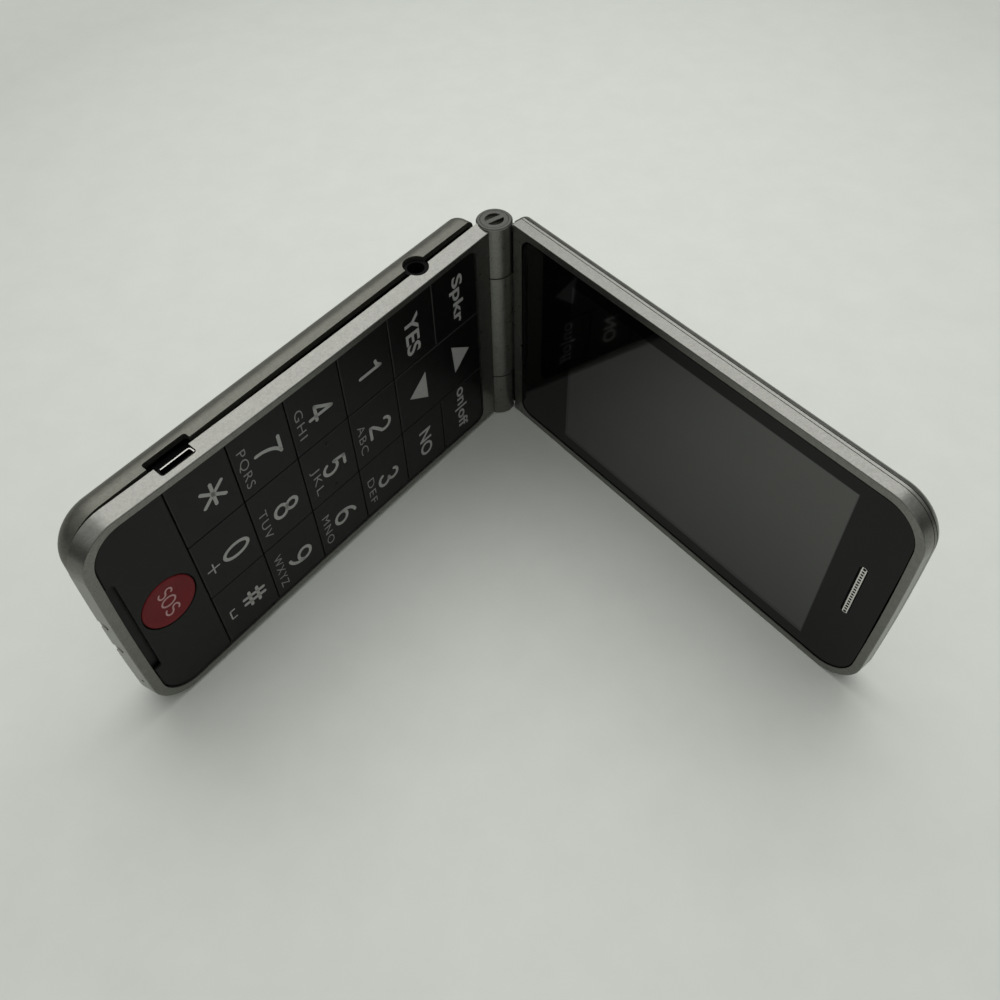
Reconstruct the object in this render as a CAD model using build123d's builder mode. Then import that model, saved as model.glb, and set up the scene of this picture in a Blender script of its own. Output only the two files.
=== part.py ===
from build123d import *
from math import cos, radians, sin
import os

# Flip phone standing half open on the long edge of its two halves.
# The hinge axis is +Z through the origin, and the surface that it stands on is Z = 0.
# Each half is drawn in its own plane: x runs from the hinge to the far end, y across the phone,
# and a level is a height above the hinge axis, towards the face that closes on the other half.

os.makedirs("parts", exist_ok=True)

# Whole phone
phone_width = 55.0
base_reach = 109.0
lid_shortfall = 0.9
rest_opening = 78.6
body_gap = 0.3
fit_gap = 0.08
seat_gap = 0.05

# Hinge barrel
barrel_radius = 3.9
barrel_bore = 2.6
barrel_chamfer = 0.25
middle_knuckle_length = 29.2
knuckle_gap = 0.3
cap_radius = 3.0
cap_thickness = 0.9
cap_groove = 0.1
cap_slot_radius = 2.05
cap_bar_width = 1.1
cap_bar_angle = 34.0
shell_clearance = 0.5

# Base outline and levels
base_corner = 9.0
base_waist = 0.8
wall_draft = 9.0
end_crown = 0.6
rim_level = 1.45
key_level = 1.15
front_bottom = -2.1
side_rim = 2.0
end_rim = 2.6
rim_round = 0.25
front_wall = 1.6
window_near = 7.9
window_near_corner = 2.6
ledge_width = 1.2
ledge_thickness = 0.3
notch_width = 2.0
notch_height = 2.1
notch_depth = 1.0
notch_spacing = 8.1

# Keypad
first_row = 14.13
second_row = 12.95
digit_rows = 4
panel_length = 16.04
key_gap = 0.35
key_thickness = 0.6
key_chamfer = 0.15
key_travel = 0.3
plunger_radius = 1.5
rocker_reach = 6.7
fulcrum_length = 10.0
red_button_radius = 5.84
red_button_inset = 7.34
red_dish_radius = 4.9
red_dish_depth = 0.25
recess_length = 28.0
recess_width = 1.8
recess_depth = 0.9
recess_corner = 0.7

# Layers under the keys
mat_top = -0.25
mat_thickness = 0.35
mat_clearance = 0.45
board_level = -1.45
board_thickness = 0.8
board_clearance = 0.3
dome_sheet_thickness = 0.1
dome_radius = 2.4
dome_height = 0.2
dome_draft = 30.0
shield_length = 24.0
shield_width = 28.0
shield_height = 0.5
shield_sheet = 0.15
shield_centre = 52.0

# Rear housing and what it carries
rear_wall = 0.9
rear_top = -1.0
rear_floor_level = -2.9
rear_floor_thickness = 0.6
rear_skirt_near = 4.9
rear_skirt_bottom = -4.2
bay_bottom = -7.0
bay_rib = 1.0
bay_gap = 0.2
battery_start = 30.2
battery_end_room = 25.8
battery_margin = 4.5
battery_thickness = 3.9
battery_corner = 2.5
contact_block_length = 2.6
contact_block_width = 10.0
contact_block_height = 2.6
contact_count = 3
contact_pitch = 3.0
contact_width = 1.0
sim_length = 15.0
sim_width = 16.0
sim_thickness = 1.3
sim_centre = 18.0
sim_across = 9.0
speaker_length = 11.0
speaker_width = 16.0
speaker_thickness = 3.0
speaker_corner = 2.0
speaker_rim = 1.2
speaker_rim_height = 0.5
motor_screw_spacing = 6.9
motor_radius = 4.0
motor_thickness = 2.7
mic_end_room = 7.0
mic_margin = 11.6
mic_radius = 1.5
mic_thickness = 0.7
mic_hole_radius = 0.35
mic_hole_level = -0.3

# Back cover
cover_near = 2.65
cover_shortfall = 0.7
cover_near_round = 1.9
cover_edge_level = -3.75
cover_back_level = -10.0
cover_taper = 0.75
cover_wall = 1.25
cover_round = 4.6
slot_count = 5
slot_pitch = 2.2
slot_width = 1.0
slot_length = 12.0

# Sockets and side key
jack_centre = 21.3
jack_level = -3.1
jack_bore_radius = 1.8
jack_bore_length = 12.5
jack_collar_radius = 2.6
jack_collar_length = 1.1
jack_body_half = 2.35
jack_body_length = 13.0
jack_recess = 0.9
jack_opening_gap = 0.1
usb_end_room = 24.4
usb_level = -0.95
usb_width = 7.2
usb_height = 1.8
usb_sheet = 0.25
usb_corner = 0.6
usb_depth = 5.2
usb_recess = 1.1
usb_tongue_width = 4.4
usb_tongue_thickness = 0.5
usb_tongue_length = 3.8
socket_gap = 0.15
plug_relief_width = 9.4
plug_relief_depth = 1.3
volume_centre = 46.0
volume_level = -0.3
volume_length = 16.0
volume_width = 1.6
volume_outer = 0.5
volume_depth = 1.2

# Screws
screw_radius = 0.65
screw_head_radius = 1.5
screw_head_height = 0.8
screw_slot_width = 0.4
boss_radius = 1.8
base_screw_near = 8.9
base_screw_end_room = 12.5
base_screw_margin = 7.1
lid_screw_near = 13.0
lid_screw_end_room = 7.3
lid_screw_margin = 8.0

# Lid outline and levels
lid_corner = 9.3
lid_near_corner = 1.2
lid_rim_level = -1.75
lid_rim_round = 0.2
lid_parting = -4.3
parting_gap = 0.15
lid_back_level = -7.4
lid_back_round = 2.5
lid_groove_level = -5.05
lid_groove_width = 0.2
lid_groove_depth = 0.3
lid_wall = 1.0
web_drop = 0.4
web_reach = 4.7
web_thickness = 1.3
web_inside = 1.5
glass_level = -1.95
glass_thickness = 1.0
glass_near = 6.75
glass_rim = 1.7
glass_near_corner = 3.0
glass_gap = 0.12
glass_chamfer = 0.15

# Lid contents
display_start = 22.35
display_end_room = 14.15
display_margin = 5.2
display_border = 1.4
display_thickness = 1.9
lid_board_thickness = 0.6
earpiece_end_room = 8.1
earpiece_length = 14.6
earpiece_width = 1.8
grille_thickness = 0.8
grille_drop = 0.1
grille_slits = 17
grille_slit_width = 0.35
grille_rim = 0.3
earpiece_body_width = 5.0
earpiece_thickness = 1.4
outer_window_start = 30.0
outer_window_length = 34.0
outer_window_margin = 7.5
outer_window_corner = 3.0
outer_window_thickness = 0.7
outer_window_ledge = 1.5
outer_display_thickness = 1.0
camera_centre = 14.3
camera_body = 6.6
camera_lens_radius = 2.2
camera_window_radius = 3.6
camera_window_thickness = 0.6
flash_across = 8.6
flash_radius = 1.3
flash_base = 3.4
flash_base_thickness = 0.5
magnet_end_room = 5.8
magnet_across = 13.0
magnet_size = 4.0
magnet_thickness = 1.1

# Inside the hinge barrel
case_wall = 0.35
case_end = 0.5
shaft_radius = 1.1
shaft_clearance = 0.06
cam_length = 7.0
bush_bore = 1.8
bush_engagement = 3.0
spring_discs = 6
disc_thickness = 0.25
disc_clearance = 0.3
flex_outer_radius = 2.35
flex_thickness = 0.4
flex_gap_angle = 60.0

# Heights along the hinge axis
half_width = phone_width / 2
middle_bottom = half_width - middle_knuckle_length / 2
middle_top = half_width + middle_knuckle_length / 2
upper_start = middle_top + knuckle_gap
lower_end = middle_bottom - knuckle_gap

# Places along the base and across it
window_end = base_reach - end_rim
digit_start = window_near + first_row + second_row
digit_row = (window_end - body_gap - panel_length - digit_start) / digit_rows
keys_end = digit_start + digit_rows * digit_row
nav_centre = (window_near + digit_start) / 2
column_half = (half_width - side_rim - body_gap) / 3
battery_length = base_reach - battery_end_room - battery_start
battery_width = phone_width - 2 * battery_margin
bay_length = battery_length + 2 * bay_gap
bay_width = battery_width + 2 * bay_gap
battery_centre = battery_start + battery_length / 2
usb_centre = base_reach - usb_end_room
cover_reach = base_reach - cover_shortfall
mic_centre = base_reach - mic_end_room
mic_across = half_width - mic_margin
base_screw_far = base_reach - base_screw_end_room
base_screw_half_span = half_width - base_screw_margin
motor_across = motor_screw_spacing - base_screw_half_span

# Places along the lid and across it
lid_reach = base_reach - lid_shortfall
display_end = lid_reach - display_end_room
display_centre = (display_start + display_end) / 2
display_length = display_end - display_start
display_width = phone_width - 2 * display_margin
earpiece_centre = lid_reach - earpiece_end_room
magnet_centre = lid_reach - magnet_end_room
lid_screw_far = lid_reach - lid_screw_end_room
lid_screw_half_span = half_width - lid_screw_margin
outer_window_width = phone_width - 2 * outer_window_margin
outer_window_centre = outer_window_start + outer_window_length / 2

# Levels
red_button_centre = keys_end + red_button_inset
key_bottom = key_level - key_thickness
mat_bottom = mat_top - mat_thickness
window_floor = mat_bottom - seat_gap
ledge_bottom = window_floor - ledge_thickness
dome_sheet_top = board_level + dome_sheet_thickness
plunger_bottom = dome_sheet_top + dome_height + key_travel + seat_gap
pocket_near = window_near - ledge_width
rear_inset = front_wall + 0.1
rear_near = pocket_near + 0.1
board_inset = rear_inset + rear_wall + board_clearance
board_near = rear_near + rear_wall + board_clearance
speaker_centre = (battery_centre + bay_length / 2 + bay_rib + cover_reach - rear_inset - rear_wall) / 2
bay_top = rear_floor_level - rear_floor_thickness
hung_level = bay_top - seat_gap
shell_circle = barrel_radius + shell_clearance
lid_cover_top = lid_parting - parting_gap
lid_inside = lid_back_level + lid_wall
glass_bottom = glass_level - glass_thickness
lid_floor_level = glass_bottom - seat_gap
lid_board_top = lid_floor_level - display_thickness - seat_gap

# Directions of the two halves at rest
half_open = radians(rest_opening / 2)
taper = radians(cover_taper)
base_out = Vector(-sin(half_open), -cos(half_open), 0)
base_up = Vector(cos(half_open), -sin(half_open), 0)
lid_out = Vector(sin(half_open), -cos(half_open), 0)
lid_up = Vector(-cos(half_open), -sin(half_open), 0)
cover_out = base_out * cos(taper) + base_up * sin(taper)
cover_up = base_up * cos(taper) - base_out * sin(taper)
base_plane = Plane(origin=(0, 0, half_width), x_dir=base_out, z_dir=base_up)
cover_plane = Plane(origin=(0, 0, half_width), x_dir=cover_out, z_dir=cover_up)
lid_plane = Plane(origin=(0, 0, half_width), x_dir=lid_out, z_dir=lid_up)
along_base = Axis((0, 0, 0), base_out)
up_base = Axis((0, 0, 0), base_up)
along_cover = Axis((0, 0, 0), cover_out)
up_cover = Axis((0, 0, 0), cover_up)
along_lid = Axis((0, 0, 0), lid_out)
up_lid = Axis((0, 0, 0), lid_up)

# Screw places in each half
base_screws = [
    (reach, side * base_screw_half_span)
    for reach in (base_screw_near, base_screw_far)
    for side in (-1, 1)
]
lid_screws_at = [
    (reach, side * lid_screw_half_span)
    for reach in (lid_screw_near, lid_screw_far)
    for side in (-1, 1)
]

# Key cells: name, start and end along the base, then the two sides across it
side_column = (-half_width, -column_half)
middle_column = (-column_half, column_half)
far_column = (column_half, half_width)
first_end = window_near + first_row
key_cells = [
    ("key_speaker", window_near, first_end, *side_column),
    ("key_power", window_near, first_end, *far_column),
    ("key_yes", first_end, digit_start, *side_column),
    ("key_no", first_end, digit_start, *far_column),
]
digit_names = [
    ("key_1", "key_2", "key_3"),
    ("key_4", "key_5", "key_6"),
    ("key_7", "key_8", "key_9"),
    ("key_star", "key_0", "key_hash"),
]
for row, names in enumerate(digit_names):
    row_start = digit_start + row * digit_row
    for name, column in zip(names, (side_column, middle_column, far_column)):
        key_cells.append((name, row_start, row_start + digit_row, *column))


def plunger_spot(start, end, low, high):
    """Middle of the visible part of a key cell."""
    edge = half_width - side_rim
    return ((start + end) / 2, (max(low, -edge) + min(high, edge)) / 2)


plunger_spots = [plunger_spot(*cell[1:]) for cell in key_cells]
plunger_spots += [(nav_centre - rocker_reach, 0), (nav_centre + rocker_reach, 0)]
plunger_spots += [(red_button_centre, 0)]


def base_section(height):
    """Level plane through the base: x runs along the base, y is the level, and it faces up."""
    return Plane(origin=(0, 0, height), x_dir=base_out, z_dir=(0, 0, 1))


def lid_section(height):
    """Level plane through the lid: x runs along the lid, y is the level, and it faces down."""
    return Plane(origin=(0, 0, height), x_dir=lid_out, z_dir=(0, 0, -1))


def base_end(reach):
    """Plane square to the base: x runs against the base's y, and y against its levels."""
    return Plane(origin=base_plane.from_local_coords((reach, 0, 0)), x_dir=(0, 0, 1), z_dir=base_out)


def outline(start, end, half, near_corner, far_corner, waist):
    """Phone outline with a straight near edge, sides drawn in by waist and a bowed far end."""
    square_end = end - end_crown
    middle = (start + square_end) / 2
    with BuildSketch() as shape:
        with BuildLine():
            Line((start, half), (start, -half))
            if waist > 0:
                ThreePointArc((start, -half), (middle, waist - half), (square_end, -half))
            else:
                Line((start, -half), (square_end, -half))
            ThreePointArc((square_end, -half), (end, 0), (square_end, half))
            if waist > 0:
                ThreePointArc((square_end, half), (middle, half - waist), (start, half))
            else:
                Line((square_end, half), (start, half))
        make_face()
        fillet(shape.vertices().group_by(Axis.X)[-1], far_corner)
        if near_corner > 0:
            fillet(shape.vertices().group_by(Axis.X)[0], near_corner)
    return shape.sketch


def base_outline(reach, inset, near, near_corner):
    """Outline of the base from near to reach, drawn in by inset on its sides and its far end."""
    with BuildSketch() as shape:
        add(outline(0, reach - inset, half_width - inset, 0, base_corner - inset, base_waist))
        with Locations((near, 0)):
            Rectangle(base_reach, phone_width, align=(Align.MIN, Align.CENTER), mode=Mode.INTERSECT)
        if near_corner > 0:
            fillet(shape.vertices().group_by(Axis.X)[0], near_corner)
    return shape.sketch


def window_outline(inset):
    """Window for the keys, or the outline of what lies in it with a gap of inset all round."""
    return outline(
        window_near + inset, window_end - inset, half_width - side_rim - inset,
        window_near_corner - inset, base_corner - side_rim - inset, base_waist
    )


def lid_outline(inset, near_corner):
    """Outline of the lid with straight sides, drawn in by inset all round."""
    return outline(cover_near + inset, lid_reach - inset, half_width - inset, near_corner, lid_corner - inset, 0)


def glass_outline(inset):
    """Recess for the screen glass, or the glass itself with a gap of inset all round."""
    return outline(
        glass_near + inset, lid_reach - glass_rim - inset, half_width - glass_rim - inset,
        glass_near_corner - inset, lid_corner - glass_rim - inset, 0
    )


def jack_space(gap):
    """Space of the headset socket's body behind its collar, and a gap round it."""
    with BuildPart() as space:
        with BuildSketch(base_section(phone_width - jack_recess - jack_collar_length + gap)):
            with Locations((jack_centre, jack_level)):
                Rectangle(2 * (jack_body_half + gap), 2 * (jack_body_half + gap))
        extrude(amount=-(jack_body_length + 2 * gap))
    return space.part


def usb_space(gap):
    """Space of the side socket, from the long side inwards, and a gap round it."""
    with BuildPart() as space:
        with BuildSketch(base_section(phone_width)):
            with Locations((usb_centre, usb_level)):
                Rectangle(usb_width + 2 * gap, usb_height + 2 * gap)
        extrude(amount=-(usb_recess + usb_depth + gap))
    return space.part


def save(builder, name):
    """Names the finished piece and writes it to its own file."""
    builder.part.label = name
    export_step(builder.part, f"parts/{name}.step")


# Front housing: the frame round the keys, with the two outer knuckles of the hinge, finger notches
# at the end for taking the back cover off, and the sound hole of the microphone
with BuildPart() as front_housing:
    with BuildSketch(base_plane.offset(front_bottom)):
        add(base_outline(base_reach, 0, 0, 0))
    extrude(amount=rim_level - front_bottom, taper=wall_draft)
    fillet(front_housing.edges().group_by(up_base)[-1].sort_by(along_base)[1:], rim_round)
    with BuildSketch(base_plane.offset(rim_level)):
        add(window_outline(0))
    extrude(amount=window_floor - rim_level, mode=Mode.SUBTRACT)
    with BuildSketch(base_plane.offset(rim_level)):
        add(window_outline(ledge_width))
    extrude(amount=front_bottom - rim_level, mode=Mode.SUBTRACT)
    with BuildSketch(base_plane.offset(ledge_bottom)):
        add(base_outline(base_reach, front_wall, pocket_near, window_near_corner))
    extrude(amount=front_bottom - ledge_bottom, mode=Mode.SUBTRACT)
    with BuildSketch(base_plane.offset(window_floor)):
        with Locations(*base_screws):
            Rectangle(2 * boss_radius, 2 * (half_width - side_rim - ledge_width / 2 - base_screw_half_span))
    extrude(amount=-ledge_thickness)
    with BuildSketch(base_plane.offset(ledge_bottom)):
        with Locations(*base_screws):
            Circle(boss_radius)
            Circle(screw_radius + seat_gap, mode=Mode.SUBTRACT)
    extrude(amount=rear_floor_level + seat_gap - ledge_bottom)
    with BuildSketch(Plane.XY.offset(lower_end)):
        Circle(barrel_radius + body_gap)
    extrude(amount=upper_start - lower_end, mode=Mode.SUBTRACT)
    with BuildSketch(Plane.XY.offset(lower_end), Plane.XY.offset(phone_width - barrel_chamfer)):
        Circle(barrel_radius)
    extrude(amount=barrel_chamfer - lower_end)
    with BuildSketch(-Plane.XY.offset(barrel_chamfer), Plane.XY.offset(phone_width - barrel_chamfer)):
        Circle(barrel_radius)
    extrude(amount=barrel_chamfer, taper=45)
    with BuildSketch(Plane.XY):
        Circle(barrel_bore)
    extrude(amount=phone_width, mode=Mode.SUBTRACT)
    with BuildSketch(Plane.XY, Plane.XY.offset(phone_width - cap_thickness)):
        Circle(cap_radius + cap_groove)
    extrude(amount=cap_thickness, mode=Mode.SUBTRACT)
    with BuildSketch(base_section(phone_width)):
        with Locations((jack_centre, jack_level)):
            Circle(jack_collar_radius + jack_opening_gap)
    extrude(amount=-(jack_recess + jack_collar_length + socket_gap), mode=Mode.SUBTRACT)
    add(jack_space(socket_gap), mode=Mode.SUBTRACT)
    with BuildSketch(base_section(phone_width)):
        with Locations((usb_centre, usb_level)):
            RectangleRounded(usb_width + 2 * socket_gap, usb_height + 2 * socket_gap, usb_corner)
    extrude(amount=-side_rim - base_waist, mode=Mode.SUBTRACT)
    with BuildSketch(base_section(phone_width)):
        with Locations((usb_centre, (window_floor + front_bottom) / 2)):
            Rectangle(usb_width + 2 * socket_gap, window_floor - front_bottom)
    extrude(amount=-(usb_recess + usb_depth), mode=Mode.SUBTRACT)
    with BuildSketch(base_section(0)):
        with Locations((volume_centre, volume_level)):
            SlotOverall(volume_length + 2 * body_gap, volume_width + 2 * body_gap)
    extrude(amount=volume_outer + volume_depth + body_gap, mode=Mode.SUBTRACT)
    with BuildSketch(base_end(base_reach)):
        with Locations((0, -front_bottom)):
            with GridLocations(notch_spacing, 0, 2, 1):
                SlotOverall(2 * notch_height, notch_width, rotation=90)
    extrude(amount=-notch_depth, mode=Mode.SUBTRACT)
    with BuildSketch(base_end(base_reach)):
        with Locations((-mic_across, -mic_hole_level)):
            Circle(mic_hole_radius)
    extrude(amount=-end_rim - end_crown, mode=Mode.SUBTRACT)
save(front_housing, "front_housing")

# Lower panel: the fixed black panel beyond the keys, with the hole for the red button
with BuildPart() as lower_panel:
    with BuildSketch(base_plane.offset(key_level)):
        add(window_outline(body_gap))
        with Locations((keys_end + key_gap / 2, 0)):
            Rectangle(base_reach, phone_width, align=(Align.MIN, Align.CENTER), mode=Mode.INTERSECT)
    extrude(amount=mat_top + seat_gap - key_level)
    chamfer(lower_panel.edges().group_by(up_base)[-1], key_chamfer)
    with BuildSketch(base_plane.offset(key_level)):
        with Locations((red_button_centre, 0)):
            Circle(red_button_radius + body_gap)
    extrude(amount=mat_top - key_level, mode=Mode.SUBTRACT)
    with BuildSketch(base_plane.offset(key_level)):
        with Locations((window_end - body_gap, 0)):
            RectangleRounded(2 * recess_width, recess_length, recess_corner)
    extrude(amount=-recess_depth, mode=Mode.SUBTRACT)
save(lower_panel, "lower_panel")

# Function and number keys: thin caps, each with a plunger that presses its dome
for name, start, end, low, high in key_cells:
    with BuildPart() as key:
        with BuildSketch(base_plane.offset(key_level)):
            add(window_outline(body_gap))
            with Locations(((start + end) / 2, (low + high) / 2)):
                Rectangle(end - start - key_gap, high - low - key_gap, mode=Mode.INTERSECT)
        extrude(amount=-key_thickness)
        chamfer(key.edges().group_by(up_base)[-1], key_chamfer)
        with BuildSketch(base_plane.offset(key_bottom)):
            with Locations(plunger_spot(start, end, low, high)):
                Circle(plunger_radius)
        extrude(amount=plunger_bottom - key_bottom)
    save(key, name)

# Nav key: a rocker with a plunger at each end and a round rib under its middle
with BuildPart() as nav_key:
    with BuildSketch(base_plane.offset(key_level)):
        add(window_outline(body_gap))
        with Locations((nav_centre, 0)):
            Rectangle(digit_start - window_near - key_gap, 2 * column_half - key_gap, mode=Mode.INTERSECT)
    extrude(amount=-key_thickness)
    chamfer(nav_key.edges().group_by(up_base)[-1], key_chamfer)
    with BuildSketch(base_plane.offset(key_bottom)):
        with Locations((nav_centre - rocker_reach, 0), (nav_centre + rocker_reach, 0)):
            Circle(plunger_radius)
    extrude(amount=plunger_bottom - key_bottom)
    with BuildSketch(base_section(half_width - fulcrum_length / 2)):
        with Locations((nav_centre, key_bottom)):
            Circle(key_bottom - mat_top - fit_gap)
            Rectangle(2 * plunger_radius, 2 * key_bottom - 2 * mat_top, align=(Align.CENTER, Align.MIN),
                      mode=Mode.SUBTRACT)
    extrude(amount=fulcrum_length)
save(nav_key, "nav_key")

# Red button: a round cap with a shallow dish for the finger
with BuildPart() as red_button:
    with BuildSketch(base_plane.offset(key_level)):
        with Locations((red_button_centre, 0)):
            Circle(red_button_radius)
    extrude(amount=-key_thickness)
    chamfer(red_button.edges().group_by(up_base)[-1], key_chamfer)
    dish_sphere = (red_dish_radius**2 + red_dish_depth**2) / (2 * red_dish_depth)
    dish_centre = (red_button_centre, 0, key_level + dish_sphere - red_dish_depth)
    with Locations(base_plane.from_local_coords(dish_centre)):
        Sphere(dish_sphere, mode=Mode.SUBTRACT)
    with BuildSketch(base_plane.offset(key_bottom)):
        with Locations((red_button_centre, 0)):
            Circle(plunger_radius)
    extrude(amount=plunger_bottom - key_bottom)
save(red_button, "red_button")

# Volume rocker: a narrow key in the long side that the phone stands on, proud of the waisted wall
with BuildPart() as volume_rocker:
    with BuildSketch(base_section(volume_outer)):
        with Locations((volume_centre, volume_level)):
            SlotOverall(volume_length, volume_width)
    extrude(amount=volume_depth)
    chamfer(volume_rocker.faces().sort_by(Axis.Z)[0].edges(), key_chamfer)
save(volume_rocker, "volume_rocker")

# Keypad mat: soft layer that rests on the ledge, open round every plunger
with BuildPart() as keypad_mat:
    with BuildSketch(base_plane.offset(mat_top)):
        add(window_outline(body_gap))
        with Locations(*plunger_spots):
            Circle(plunger_radius + mat_clearance, mode=Mode.SUBTRACT)
    extrude(amount=-mat_thickness)
    add(usb_space(body_gap), mode=Mode.SUBTRACT)
save(keypad_mat, "keypad_mat")

# Dome sheet: metal domes on a film that lies on the board
with BuildPart() as dome_sheet:
    with BuildSketch(base_plane.offset(board_level)):
        add(base_outline(cover_reach, board_inset, board_near, window_near_corner))
        with Locations(*base_screws):
            Circle(boss_radius + board_clearance, mode=Mode.SUBTRACT)
        with Locations((mic_centre, mic_across)):
            Circle(mic_radius + board_clearance, mode=Mode.SUBTRACT)
    extrude(amount=dome_sheet_thickness)
    with BuildSketch(base_plane.offset(dome_sheet_top)):
        with Locations(*plunger_spots):
            Circle(dome_radius)
    extrude(amount=dome_height, taper=dome_draft)
    add(jack_space(board_clearance), mode=Mode.SUBTRACT)
    add(usb_space(board_clearance), mode=Mode.SUBTRACT)
save(dome_sheet, "dome_sheet")

# Main board, cut out round the sockets and the screw bosses
with BuildPart() as main_board:
    with BuildSketch(base_plane.offset(board_level)):
        add(base_outline(cover_reach, board_inset, board_near, window_near_corner))
        with Locations(*base_screws):
            Circle(boss_radius + board_clearance, mode=Mode.SUBTRACT)
    extrude(amount=-board_thickness)
    add(jack_space(board_clearance), mode=Mode.SUBTRACT)
    add(usb_space(board_clearance), mode=Mode.SUBTRACT)
save(main_board, "main_board")

# Shield can: a shallow tray of thin sheet on the underside of the board
with BuildPart() as shield_can:
    with BuildSketch(base_plane.offset(board_level - board_thickness)):
        with Locations((shield_centre, 0)):
            Rectangle(shield_length, shield_width)
    extrude(amount=-shield_height)
    offset(amount=-shield_sheet, openings=shield_can.faces().sort_by(up_base)[-1])
save(shield_can, "shield_can")

# Rear housing: inner body with the floor under the board, the battery bay and a skirt in the slit
with BuildPart() as rear_housing:
    with BuildSketch(base_plane.offset(rear_top)):
        add(base_outline(cover_reach, rear_inset, rear_near, window_near_corner))
    extrude(amount=bay_top - rear_top)
    with BuildSketch(base_plane.offset(front_bottom - body_gap)):
        add(base_outline(cover_reach, rear_inset, rear_skirt_near, window_near_corner))
    extrude(amount=rear_skirt_bottom - front_bottom + body_gap)
    with BuildSketch(base_plane.offset(rear_top)):
        add(base_outline(cover_reach, rear_inset + rear_wall, rear_near + rear_wall, window_near_corner))
    extrude(amount=rear_floor_level - rear_top, mode=Mode.SUBTRACT)
    with BuildSketch(base_plane.offset(bay_top)):
        add(base_outline(cover_reach, rear_inset + rear_wall, rear_skirt_near + rear_wall, window_near_corner))
    extrude(amount=rear_skirt_bottom - bay_top, mode=Mode.SUBTRACT)
    with BuildSketch(base_plane.offset(bay_top)):
        with Locations((battery_centre, 0)):
            Rectangle(bay_length + 2 * bay_rib, bay_width + 2 * bay_rib)
            Rectangle(bay_length, bay_width, mode=Mode.SUBTRACT)
        with Locations((battery_start, 0)):
            Rectangle(4 * bay_rib, contact_block_width + 2 * bay_gap, mode=Mode.SUBTRACT)
    extrude(amount=bay_bottom - bay_top)
    with BuildSketch(base_plane.offset(rear_top)):
        with Locations(*base_screws):
            Circle(boss_radius + board_clearance)
    extrude(amount=rear_floor_level - rear_top, mode=Mode.SUBTRACT)
    with BuildSketch(base_plane.offset(rear_floor_level)):
        with Locations(*base_screws):
            Circle(screw_radius + socket_gap)
    extrude(amount=-rear_floor_thickness, mode=Mode.SUBTRACT)
    add(jack_space(socket_gap), mode=Mode.SUBTRACT)
    add(usb_space(socket_gap), mode=Mode.SUBTRACT)
save(rear_housing, "rear_housing")

# Battery: flat block with rounded long corners
with BuildPart() as battery:
    with BuildSketch(base_plane.offset(hung_level)):
        with Locations((battery_centre, 0)):
            RectangleRounded(battery_length, battery_width, battery_corner)
    extrude(amount=-battery_thickness)
save(battery, "battery")

# Battery contacts: a block in the gap of the bay rib, with a blade for each contact
with BuildPart() as battery_contacts:
    with BuildSketch(base_plane.offset(hung_level)):
        with Locations((battery_start - bay_gap, 0)):
            Rectangle(contact_block_length, contact_block_width, align=(Align.MAX, Align.CENTER))
    extrude(amount=-contact_block_height)
    with BuildSketch(base_plane.offset(hung_level - contact_block_height / 4)):
        with Locations((battery_start - bay_gap, 0)):
            with GridLocations(0, contact_pitch, 1, contact_count):
                Rectangle(2 * (bay_gap - seat_gap), contact_width)
    extrude(amount=-contact_block_height / 2)
save(battery_contacts, "battery_contacts")

# Card holder under the floor, open at the edge where the card slides in
with BuildPart() as sim_holder:
    with BuildSketch(base_plane.offset(hung_level)):
        with Locations((sim_centre, sim_across)):
            Rectangle(sim_length, sim_width)
    extrude(amount=-sim_thickness)
    offset(amount=-shield_sheet, openings=sim_holder.faces().sort_by(along_base)[-1])
save(sim_holder, "sim_holder")

# Loudspeaker: a body with a raised rim that meets the slots of the back cover
with BuildPart() as loudspeaker:
    with BuildSketch(base_plane.offset(hung_level)):
        with Locations((speaker_centre, 0)):
            RectangleRounded(speaker_length, speaker_width, speaker_corner)
    extrude(amount=-speaker_thickness)
    with BuildSketch(base_plane.offset(hung_level - speaker_thickness)):
        with Locations((speaker_centre, 0)):
            RectangleRounded(speaker_length, speaker_width, speaker_corner)
            RectangleRounded(speaker_length - 2 * speaker_rim, speaker_width - 2 * speaker_rim,
                             speaker_corner - speaker_rim / 2, mode=Mode.SUBTRACT)
    extrude(amount=-speaker_rim_height)
save(loudspeaker, "loudspeaker")

# Vibration motor: a flat round can
with BuildPart() as vibration_motor:
    with BuildSketch(base_plane.offset(hung_level)):
        with Locations((speaker_centre, motor_across)):
            Circle(motor_radius)
    extrude(amount=-motor_thickness)
save(vibration_motor, "vibration_motor")

# Microphone: a small round can on the board, near its hole in the end wall
with BuildPart() as microphone:
    with BuildSketch(base_plane.offset(board_level + seat_gap)):
        with Locations((mic_centre, mic_across)):
            Circle(mic_radius)
    extrude(amount=mic_thickness)
save(microphone, "microphone")

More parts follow.
